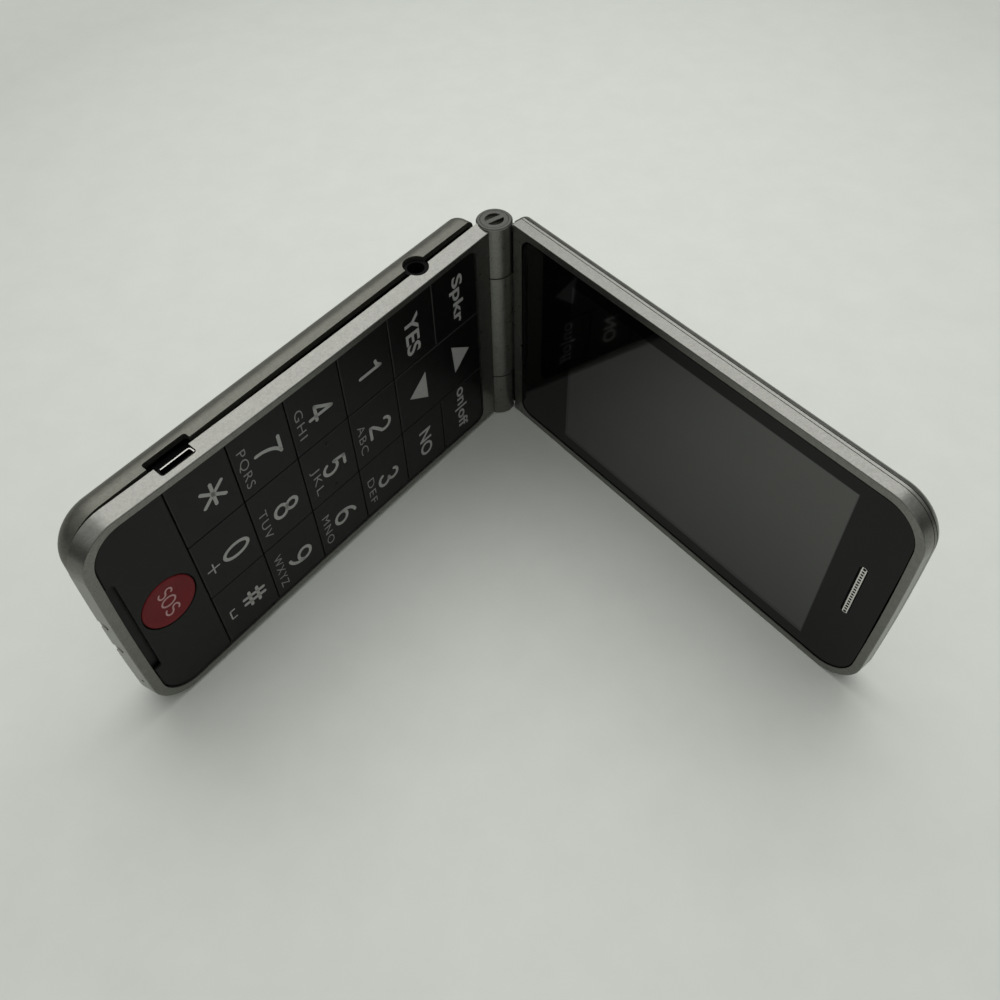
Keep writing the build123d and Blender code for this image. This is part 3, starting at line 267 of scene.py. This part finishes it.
def mesh_piece(name, points, faces, material, smooth=False):
    """Object at the origin from points in metres, already in place, and faces."""
    mesh = bpy.data.meshes.new(name)
    mesh.from_pydata(np.reshape(points, (-1, 3)).tolist(), [], [list(face) for face in faces])
    mesh.polygons.foreach_set("use_smooth", np.full(len(mesh.polygons), smooth))
    mesh.materials.append(material)
    mesh.update()
    piece = bpy.data.objects.new(name, mesh)
    bpy.context.scene.collection.objects.link(piece)
    return piece


def bow(x, y, wide, high, start, end, count=17):
    """Points of an elliptical arc round (x, y) between two angles in degrees."""
    turn = np.radians(np.linspace(start, end, count))
    return np.stack([x + wide * np.cos(turn), y + high * np.sin(turn)], 1)


# Each sign is a list of strokes in a box that is 1 high, with x to the right and y up.
signs = {
    "0": [bow(0.31, 0.5, 0.26, 0.46, 90, 450, 41)],
    "1": [[(0.08, 0.76), (0.22, 0.8), (0.34, 0.95)], [(0.34, 0.95), (0.34, 0.05)]],
    "2": [np.vstack([bow(0.31, 0.69, 0.24, 0.26, 170, -35),
                     [(0.3, 0.37), (0.1, 0.18), (0.05, 0.05)]]),
          [(0.05, 0.05), (0.57, 0.05)]],
    "3": [bow(0.3, 0.73, 0.21, 0.22, 160, -90), bow(0.3, 0.28, 0.25, 0.23, 90, -165)],
    "4": [[(0.44, 0.05), (0.44, 0.95)], [(0.44, 0.95), (0.04, 0.3)], [(0.04, 0.3), (0.6, 0.3)]],
    "5": [[(0.52, 0.95), (0.15, 0.95)], [(0.15, 0.95), (0.09, 0.53)],
          bow(0.3, 0.34, 0.25, 0.29, 145, -150)],
    "6": [bow(0.53, 0.36, 0.48, 0.59, 100, 180, 11), bow(0.31, 0.31, 0.26, 0.26, 0, 360, 37)],
    "7": [[(0.05, 0.95), (0.57, 0.95)], bow(0.87, 0.05, 0.68, 0.95, 108, 180, 11)],
    "8": [bow(0.31, 0.74, 0.2, 0.21, 90, 450, 33), bow(0.31, 0.29, 0.26, 0.24, 90, 450, 33)],
    "9": [bow(0.09, 0.64, 0.48, 0.59, -80, 0, 11), bow(0.31, 0.69, 0.26, 0.26, 0, 360, 37)],
    "star": [[(-0.1, 0.5), (0.72, 0.5)], [(0.01, 0.88), (0.61, 0.12)],
             [(0.01, 0.12), (0.61, 0.88)]],
    "hash": [[(0.16, 0.1), (0.26, 0.9)], [(0.42, 0.1), (0.52, 0.9)], [(0.0, 0.34), (0.64, 0.34)],
             [(0.04, 0.66), (0.68, 0.66)]],
    "plus": [[(0.5, 0.0), (0.5, 1.0)], [(0.0, 0.5), (1.0, 0.5)]],
    "space": [[(0.0, 0.45), (0.0, 0.0)], [(0.0, 0.0), (1.0, 0.0)], [(1.0, 0.0), (1.0, 0.45)]],
}


def ribbon(path, width):
    """Flat ribbon along a path: rows of a left and a right point, half the width off it.

    Beyond each open end four more rows run straight on, and their half widths follow a
    quarter circle, so the ends are round.
    """
    path = np.asarray(path, float)
    step = np.diff(path, axis=0)
    step /= np.linalg.norm(step, axis=1, keepdims=True)
    along = np.vstack([step[:1], step]) + np.vstack([step, step[-1:]])
    half = np.full(len(path), width / 2)
    if np.linalg.norm(path[0] - path[-1]) > width:
        turn = np.radians([84, 66, 44, 22])[:, None]
        path = np.vstack([path[0] - step[0] * width / 2 * np.sin(turn), path,
                          path[-1] + step[-1] * width / 2 * np.sin(turn[::-1])])
        along = np.vstack([np.repeat(along[:1], 4, 0), along, np.repeat(along[-1:], 4, 0)])
        round_off = width / 2 * np.cos(turn[:, 0])
        half = np.concatenate([round_off, half, round_off[::-1]])
    else:
        along[0] = along[-1] = step[0] + step[-1]
    along /= np.linalg.norm(along, axis=1, keepdims=True)
    side = np.stack([-along[:, 1], along[:, 0]], 1) * half[:, None]
    points = np.stack([path + side, path - side], 1).reshape(-1, 2)
    first = 2 * np.arange(len(path) - 1)
    return points, np.stack([first, first + 1, first + 3, first + 2], 1).tolist()


def sign(name, x, y, high, width):
    """Strokes of a sign scaled to its height, with its middle at (x, y)."""
    paths = [np.asarray(path, float) * high for path in signs[name]]
    every = np.vstack(paths)
    middle = (every.min(0) + every.max(0)) / 2
    return [ribbon(path - middle + (x, y), width) for path in paths]


def words(text, x, y, wide, high, weight, tracking=1.0):
    """Flat mesh of a word in the built-in type, scaled to its width and capital height."""
    type_set = bpy.data.curves.new("type", "FONT")
    type_set.body = text
    type_set.offset = weight
    type_set.space_character = tracking
    type_set.resolution_u = 4
    holder = bpy.data.objects.new("type", type_set)
    flat = bpy.data.meshes.new_from_object(holder)
    points = np.array([vertex.co[:2] for vertex in flat.vertices])
    faces = [list(face.vertices) for face in flat.polygons]
    bpy.data.objects.remove(holder)
    bpy.data.meshes.remove(flat)
    bpy.data.curves.remove(type_set)
    capital = 0.73
    left, right = points[:, 0].min(), points[:, 0].max()
    scale = (wide / (right - left), high / capital)
    return [((points - ((left + right) / 2, capital / 2)) * scale + (x, y), faces)]


def joined(shapes):
    """Points and faces of several flat shapes as one mesh."""
    points = np.vstack([shape[0] for shape in shapes])
    starts = np.cumsum([0] + [len(shape[0]) for shape in shapes[:-1]])
    faces = [[int(corner + start) for corner in face]
             for start, shape in zip(starts, shapes) for face in shape[1]]
    return points, faces


def thicken(piece, thickness, offset):
    """Gives a flat piece a thickness in millimetres: down from it at -1, half each way at 0."""
    film = piece.modifiers.new("film", "SOLIDIFY")
    film.thickness = thickness * MM
    film.offset = offset


def print_on_key(name, shapes, material, body):
    """Film of ink on a key face, from flat shapes in reading direction.

    x in a shape runs down the phone and y towards the hinge, as the legends read.
    """
    points, faces = joined(shapes)
    piece = mesh_piece(name, on_base(-points[:, 1], -points[:, 0], key_face + ink_film), faces,
                       material)
    thicken(piece, ink_film, -1)
    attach(piece, body)


# Digits with their middles along the base and up the phone, and the letters under them.
digit_height = 6.3
digit_stroke = 0.78
letter_height, letter_weight, letter_spacing = 2.15, -0.01, 1.2
digits = {
    "1": (41.1, 43.7, None), "2": (40.9, 26.7, ("ABC", 46.1, 26.9, 8.6)),
    "3": (41.0, 10.2, ("DEF", 46.2, 10.0, 8.0)), "4": (54.9, 43.4, ("GHI", 60.0, 43.5, 7.6)),
    "5": (54.7, 26.6, ("JKL", 59.4, 26.0, 7.8)), "6": (54.8, 10.4, ("MNO", 60.0, 10.1, 9.2)),
    "7": (68.4, 43.3, ("PQRS", 73.8, 43.3, 9.9)), "8": (68.3, 26.5, ("TUV", 73.7, 26.3, 8.2)),
    "9": (68.5, 9.8, ("WXYZ", 73.8, 10.3, 10.4)), "star": (81.6, 43.7, None),
    "0": (81.4, 26.6, None), "hash": (81.5, 10.2, None),
}
for name, (reach, z, letters) in digits.items():
    body = f"key_{name}_body"
    print_on_key(f"legend_{name}", sign(name, -z, -reach, digit_height, digit_stroke), ink, body)
    if letters:
        text, row, middle, wide = letters
        print_on_key(f"letters_{name}",
                     words(text, -middle, -row, wide, letter_height, letter_weight, letter_spacing),
                     faint_ink, body)
for name, z, reach, high, stroke, key in (("plus", 26.4, 87.1, 2.7, 0.3, "0"),
                                          ("space", 10.2, 87.2, 2.5, 0.32, "hash")):
    print_on_key(f"legend_{name}", sign(name, -z, -reach, high, stroke), ink, f"key_{key}_body")

# Function words in a bolder type, and the two arrows of the nav key.
for name, text, reach, z, wide, high, weight in (
        ("speaker", "Spkr", 14.0, 43.5, 12.4, 3.2, 0.02),
        ("yes", "YES", 28.3, 43.7, 10.2, 4.0, 0.02),
        ("power", "on|off", 15.0, 11.7, 13.2, 3.2, 0.015),
        ("no", "NO", 28.1, 10.6, 8.1, 3.8, 0.015)):
    print_on_key(f"legend_{name}", words(text, -z, -reach, wide, high, weight), ink,
                 f"key_{name}_body")
arrows = [[(17.3, 31.9), (16.6, 23.8), (11.6, 28.0)], [(26.0, 31.3), (31.4, 27.1), (25.9, 23.6)]]
print_on_key("legend_arrows", [(-np.array(arrow)[:, ::-1], [[0, 1, 2]]) for arrow in arrows], ink,
             "nav_key_body")

# Call letters on the red button.
# A pinkish grey ink, printed down in the dish: each point's level follows the button's bowl.
button_reach, dish_radius, dish_depth = 97.4, 4.9, 0.25
letter_scale, letter_stroke = (3.9, 3.3), 0.36


def curled(x):
    """Stroke of an S: an upper arc to the left and a lower arc to the right, joined in the middle."""
    return np.vstack([bow(x, 0.74, 0.2, 0.21, 40, 270), bow(x, 0.29, 0.22, 0.24, 90, -140)[1:]])


help_strokes = [curled(0.24), bow(0.9, 0.5, 0.28, 0.45, 90, 450, 41), curled(1.56)]
shapes = [ribbon((path - (0.9, 0.5)) * letter_scale, letter_stroke) for path in help_strokes]
points, faces = joined(shapes)
bowl = key_face - dish_depth * (1 - np.sum(points ** 2, 1) / dish_radius ** 2)
help_letters = mesh_piece("legend_help", on_base(
    button_reach - points[:, 1], half_width - points[:, 0], bowl + ink_film), faces,
    finish("printed_pink_grey_ink", ("#b98f90", "#c39a9b"), 0.5, (0.4, 0.5), 0.001))
thicken(help_letters, ink_film, -1)
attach(help_letters, "red_button_body")

# Side socket's shade strip.
# A thin black strip laid on the shell's lip along the housing and round its far end: painted shade on
# these two sides of the lip. The lip's other two sides stay bare.
lip_half_width, lip_half_height = 3.48, 0.78
socket_reach, socket_level = 84.6, -0.95
lip_shade_width, lip_shade_thickness = 0.44, 0.035
points, faces = ribbon(np.array([
    (socket_reach + lip_half_width - 0.4, socket_level - lip_half_height),
    (socket_reach + lip_half_width, socket_level - lip_half_height + 0.2),
    (socket_reach + lip_half_width + 0.03, socket_level + lip_half_height - 0.2),
    (socket_reach + lip_half_width - 0.17, socket_level + lip_half_height + 0.03),
    (socket_reach - lip_half_width, socket_level + lip_half_height)]), lip_shade_width)
lip_shade_strip = mesh_piece("socket_lip_shade", on_base(points[:, 0], lip_height + 0.04, points[:, 1]), faces,
                    black_abs)
thicken(lip_shade_strip, lip_shade_thickness, -1)
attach(lip_shade_strip, "base")

# Nubs of the 5 key.
# Two low domes moulded with the cap, at the sides of the digit, that a finger finds first.
nub_reach, nub_radius, nub_rise = 55.0, 0.5, 0.28


def dome(reach, z, radius, rise):
    """Low dome on a key: rings shrink by the cosine and rise by the sine of the same angle.

    Five rings of 24 points each, closed by one face at the top and one at the bottom.
    """
    ring, turn = np.meshgrid(np.radians([0, 20, 40, 60, 80]), np.radians(np.arange(0, 360, 15)),
                             indexing="ij")
    rim = on_base(reach + radius * np.cos(ring) * np.cos(turn),
                  z + radius * np.cos(ring) * np.sin(turn), key_face + rise * np.sin(ring))
    first = (np.arange(4)[:, None] * 24 + np.arange(24)).ravel()
    after = (np.arange(4)[:, None] * 24 + np.roll(np.arange(24), -1)).ravel()
    faces = np.stack([first, after, after + 24, first + 24], 1).tolist()
    faces += [list(range(96, 120)), list(range(23, -1, -1))]
    return rim.reshape(-1, 3), faces


for name, z in (("left", 33.6), ("right", 20.9)):
    nub = mesh_piece(f"nub_{name}", *dome(nub_reach, z, nub_radius, nub_rise), key_coat,
                     smooth=True)
    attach(nub, "key_5_body")

# Screen glass.
# Toughened glass, printed black on its back round the display. The display lies behind a thin
# air gap, which mirrors as well, so its window looks paler than the black border.
lid_out = np.array([math.sin(half_turn), -math.cos(half_turn), 0])
lid_up = np.array([-math.cos(half_turn), -math.sin(half_turn), 0])


def on_lid(reach, z, level):
    """Points in metres, from millimetres along the lid, up the phone and over the hinge axis."""
    reach, z, level = np.broadcast_arrays(reach, z, level)
    return MM * (reach[..., None] * lid_out + level[..., None] * lid_up + z[..., None] * upwards)


def rounded_frame(near, far, low, high, corners):
    """Loop of 36 points round a rectangle, nine on each corner's arc."""
    loops = []
    for x, y, radius, start in ((far, high, corners[1], 0), (near, high, corners[0], 90),
                                (near, low, corners[0], 180), (far, low, corners[1], 270)):
        inward_x, inward_y = (-1 if x == far else 1), (-1 if y == high else 1)
        loops.append(bow(x + inward_x * radius, y + inward_y * radius, radius, radius,
                         start, start + 90, 9))
    return np.vstack(loops)


def ring_faces(loop, rows):
    """Quads between successive closed loops of points."""
    start = (np.arange(rows - 1)[:, None] * loop + np.arange(loop)).ravel()
    after = (np.arange(rows - 1)[:, None] * loop + np.roll(np.arange(loop), -1)).ravel()
    return np.stack([start, start + loop, after + loop, after], 1).tolist()


printed_glass = finish("back_printed_glass", ("#030303", "#040404"), 30.0, (0.06, 0.07), 0.0,
                       Specular_IOR_Level=0.2)
tree = printed_glass.node_tree
shader = tree.nodes["Principled BSDF"]
place = tree.nodes["Texture Coordinate"].outputs["Object"]
along = add_node(tree, "ShaderNodeVectorMath", {"operation": "DOT_PRODUCT"}, {
    0: place, 1: lid_out.tolist()}).outputs["Value"]
height = add_node(tree, "ShaderNodeSeparateXYZ", {}, {"Vector": place}).outputs["Z"]


def within(tree, value, low, high):
    """Node output that is 1 between two places in millimetres and 0 beyond them."""
    off = add_node(tree, "ShaderNodeMath", {"operation": "SUBTRACT"}, {
        0: value, 1: (low + high) / 2 * MM})
    size = add_node(tree, "ShaderNodeMath", {"operation": "ABSOLUTE"}, {0: off.outputs["Value"]})
    return add_node(tree, "ShaderNodeMapRange", {}, {
        "Value": size.outputs["Value"], "From Min": (high - low - 0.06) / 2 * MM,
        "From Max": (high - low + 0.06) / 2 * MM, "To Min": 1.0, "To Max": 0.0}).outputs["Result"]


# The print leaves a window along the lid and up the phone, and inside it a thin darker edge
# shows where the display's own area ends.
window_along, window_up = (22.5, 94.0), (5.2, 49.8)
area_along, area_up = (23.2, 93.8), (6.1, 49.6)
display = add_node(tree, "ShaderNodeMath", {"operation": "MULTIPLY"}, {
    0: within(tree, along, *window_along), 1: within(tree, height, *window_up)}).outputs["Value"]
lit_area = add_node(tree, "ShaderNodeMath", {"operation": "MULTIPLY"}, {
    0: within(tree, along, *area_along), 1: within(tree, height, *area_up)}).outputs["Value"]
mirror = add_node(tree, "ShaderNodeMix", {"data_type": "RGBA"}, {
    0: lit_area, 6: linear("#515153"), 7: linear("#5e5e5d")}).outputs[2]
shade = add_node(tree, "ShaderNodeMix", {"data_type": "RGBA"}, {
    0: display, 6: tree.nodes["Mix"].outputs[2], 7: mirror})
tree.links.new(shade.outputs[2], shader.inputs["Base Color"])
tree.links.new(display, shader.inputs["Metallic"])
wear(printed_glass, "screen_glass")

# Dull black ink on the faces behind the glass and the outer window.
print_black = finish("black_screen_print", ("#030303", "#050505"), 4.0, (0.5, 0.6), 0.0005,
                     Specular_IOR_Level=0.0)
wear(print_black, "display_module", "outer_display")

# Bead of black adhesive that fills the joint between the glass and the frame.
glass_near, glass_far, glass_margin, glass_top = 6.9, 106.15, 1.95, -1.95
bead_width, bead_rise = 0.34, 0.02
edge = rounded_frame(glass_near, glass_far, glass_margin, phone_width - glass_margin, (2.8, 7.4))
points, faces = ribbon(np.vstack([edge, edge[:1]]), bead_width)
bead = mesh_piece("glass_bead", on_lid(points[:, 0], points[:, 1], glass_top + bead_rise), faces,
                  print_black)
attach(bead, "lid")

# Barrel shade strips.
# Two black strips in the hollow of the lid's near edge, beside the outer knuckles: painted shade in the
# gap between the lid and the barrel. They run round behind the barrel, so the gap reads dark.
shade_inner, shade_outer, shade_start, shade_end = 4.05, 4.38, 26, 74


def arc_strip(low, high, inner, outer, start, end):
    """Closed strip between two radii about the hinge axis, over an angle and a height range.

    Angles run from the lid's long axis towards its back. Each of 15 stations along the arc has
    four corners: inner low, outer low, outer high and inner high.
    """
    turn = np.radians(np.linspace(start, end, 15))[:, None]
    radius = np.array([inner, outer, outer, inner])
    z = np.array([low, low, high, high])
    points = on_lid(radius * np.cos(turn), z, -radius * np.sin(turn))
    first = (np.arange(14)[:, None] * 4 + np.arange(4)).ravel()
    after = (np.arange(14)[:, None] * 4 + np.roll(np.arange(4), -1)).ravel()
    faces = np.stack([first, after, after + 4, first + 4], 1).tolist()
    return points, faces + [[3, 2, 1, 0], [56, 57, 58, 59]]


shade_margin, shade_length = 2.2, 10.7
for name, low, high in (("lower", shade_margin, shade_margin + shade_length),
                        ("upper", phone_width - shade_margin - shade_length, phone_width - shade_margin)):
    barrel_shade = mesh_piece(f"barrel_painted_shade_{name}", *arc_strip(
        low, high, shade_inner, shade_outer, shade_start, shade_end), black_abs)
    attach(barrel_shade, "lid")

# Earpiece grille.
# A stamped strip of bright steel, its 18 slits between two rails, pressed into the black moulded
# holder that fills the opening of the glass.
wear(black_abs, "earpiece_grille")
grille_reach, grille_half_width, grille_half_length, rail = 100.1, 0.54, 7.4, 0.25
slits, slit_share = 18, 0.6
outer = rounded_frame(grille_reach - grille_half_width, grille_reach + grille_half_width,
                      half_width - grille_half_length, half_width + grille_half_length, (0.4, 0.4))
inner = rounded_frame(
    grille_reach - grille_half_width + rail, grille_reach + grille_half_width - rail,
    half_width - grille_half_length + rail, half_width + grille_half_length - rail, (0.05, 0.05))
pitch = 2 * (grille_half_length - rail) / slits
bar_middle = half_width - grille_half_length + rail + pitch * np.arange(1, slits)
bar_half = pitch * (1 - slit_share) / 2
bar_low, bar_high = bar_middle - bar_half, bar_middle + bar_half
bar_near = np.full(slits - 1, grille_reach - grille_half_width + rail)
bar_far = np.full(slits - 1, grille_reach + grille_half_width - rail)
bars = np.stack([np.stack([bar_near, bar_far, bar_far, bar_near], 1),
                 np.stack([bar_low, bar_low, bar_high, bar_high], 1)], 2).reshape(-1, 2)
points = np.vstack([outer, inner, bars])
faces = ring_faces(36, 2) + (72 + np.arange(4 * (slits - 1)).reshape(-1, 4)).tolist()
grille_top, grille_thickness = -1.99, 0.05
grille = mesh_piece("grille_strip", on_lid(points[:, 0], points[:, 1], grille_top), faces,
                    finish("bright_stamped_steel", ("#e6e5e0", "#f2f1ec"), 0.6, (0.3, 0.4), 0.001,
                           Metallic=0.8))
thicken(grille, grille_thickness, 0)
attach(grille, "lid")

# Outer windows.
# The outer window is smoked acrylic. The camera's window is printed on its back: black, with a
# silver ring round the lens. The lamp sits behind a frosted moulded lens.
wear(finish("smoked_acrylic", ("#060606", "#090909"), 8.0, (0.04, 0.1), 0.0005), "outer_window")
camera_reach, camera_level = 14.3, -7.7
camera_glass = finish("back_printed_acrylic", ("#050506", "#070708"), 6.0, (0.03, 0.06), 0.0)
tree = camera_glass.node_tree
from_lens = add_node(tree, "ShaderNodeVectorMath", {"operation": "DISTANCE"}, {
    0: tree.nodes["Texture Coordinate"].outputs["Object"],
    1: on_lid(camera_reach, half_width, camera_level).tolist()}).outputs["Value"]
shade = tree.nodes["Mix"].outputs[2]
for low, high, colour in ((0.0, 0.9, "#12141c"), (1.5, 1.75, "#3a3a3b"), (2.45, 2.75, "#b4b3ae")):
    shade = add_node(tree, "ShaderNodeMix", {"data_type": "RGBA"}, {
        0: within(tree, from_lens, low, high), 6: shade, 7: linear(colour)}).outputs[2]
tree.links.new(shade, tree.nodes["Principled BSDF"].inputs["Base Color"])
wear(camera_glass, "camera_window")
wear(finish("frosted_lamp_lens", ("#e6e2c4", "#f0ecd2"), 0.8, (0.2, 0.35), 0.002,
            Transmission_Weight=0.3), "flash_led")

# Stage, lamps and camera.
# A pale seamless sheet under soft daylight from above and behind, seen by a phone-like camera that
# looks down at about 52 degrees. The sheet is a little greyer away from its middle: painted shade for
# the fall-off towards the edges. The room gets darker towards the horizon.
fade_middle, fade_wide, fade_deep = (0.015, 0.03, 0), 0.17, 0.19
sheet_paper = finish("matt_white_paper", ("#dcdfd8", "#e0e3dc"), 12.0, (0.85, 0.95), 0.01)
tree = sheet_paper.node_tree
# Painted shade: the sheet's colour falls to 0.76 of itself away from its middle.
off_centre = add_node(tree, "ShaderNodeVectorMath", {"operation": "SUBTRACT"}, {
    0: tree.nodes["Texture Coordinate"].outputs["Object"], 1: fade_middle})
spread = add_node(tree, "ShaderNodeVectorMath", {"operation": "MULTIPLY"}, {
    0: off_centre.outputs["Vector"], 1: (1 / fade_wide, 1 / fade_deep, 0)})
square = add_node(tree, "ShaderNodeVectorMath", {"operation": "DOT_PRODUCT"}, {
    0: spread.outputs["Vector"], 1: spread.outputs["Vector"]})
fade = add_node(tree, "ShaderNodeMapRange", {}, {
    "Value": square.outputs["Value"], "From Max": 1.8, "To Min": 1.0, "To Max": 0.76})
shade = add_node(tree, "ShaderNodeMix", {"data_type": "RGBA", "blend_type": "MULTIPLY"}, {
    0: 1.0, 6: tree.nodes["Mix"].outputs[2], 7: fade.outputs["Result"]})
tree.links.new(shade.outputs[2], tree.nodes["Principled BSDF"].inputs["Base Color"])
floor_half = 1.5
side = np.linspace(-floor_half, floor_half, 41)
grid_x, grid_y = np.meshgrid(side, side, indexing="ij")
corner = (np.arange(40)[:, None] * 41 + np.arange(40)).ravel()
floor = mesh_piece("floor", np.stack([grid_x, grid_y, np.zeros_like(grid_x)], -1),
                   np.stack([corner, corner + 41, corner + 42, corner + 1], 1), sheet_paper)

world = bpy.data.worlds.new("studio")
bpy.context.scene.world = world
world.use_nodes = True
tree = world.node_tree
tree.nodes["Background"].inputs["Color"].default_value = linear("#f2f4f1")
height = add_node(tree, "ShaderNodeSeparateXYZ", {}, {
    "Vector": add_node(tree, "ShaderNodeTexCoord", {}, {}).outputs["Generated"]})
room_light = add_node(tree, "ShaderNodeMapRange", {}, {
    "Value": height.outputs["Z"], "From Min": 0.3, "From Max": 0.9, "To Min": 0.06, "To Max": 0.88})
tree.links.new(room_light.outputs["Result"], tree.nodes["Background"].inputs["Strength"])


def lamp(name, place, aim, wide, deep, power):
    """Oblong soft box at a place, turned to its aim, all in metres and watts."""
    light = bpy.data.lights.new(name, "AREA")
    light.shape = "RECTANGLE"
    light.size = wide
    light.size_y = deep
    light.energy = power
    holder = bpy.data.objects.new(name, light)
    bpy.context.scene.collection.objects.link(holder)
    holder.location = place
    holder.rotation_euler = (Vector(aim) - holder.location).to_track_quat("-Z", "Y").to_euler()


lamp("skylight", place=(-0.05, 1.52, 2.17), aim=(0, 0, 0.03), wide=3.8, deep=2.14, power=47)

tilt, roll, turn = math.radians(51.70), math.radians(-1.83), math.radians(1.035)
ahead = np.array([0, math.cos(tilt), -math.sin(tilt)])
level_right = np.array([1, 0, 0])
level_up = np.cross(level_right, ahead)
right = math.cos(roll) * level_right + math.sin(roll) * level_up
above = -math.sin(roll) * level_right + math.cos(roll) * level_up
camera = bpy.data.objects.new("camera", bpy.data.cameras.new("camera"))
bpy.context.scene.collection.objects.link(camera)
camera.data.sensor_width = 36.0
camera.data.lens = 34.75
camera.data.clip_start = 0.01
camera.matrix_world = (Matrix.Translation((0.00244, -0.17207, 0.17761))
                       @ Matrix.Rotation(turn, 4, "Z")
                       @ Matrix(np.stack([right, above, -ahead], 1).tolist()).to_4x4())
bpy.context.scene.camera = camera
bpy.context.scene.view_settings.view_transform = "Standard"
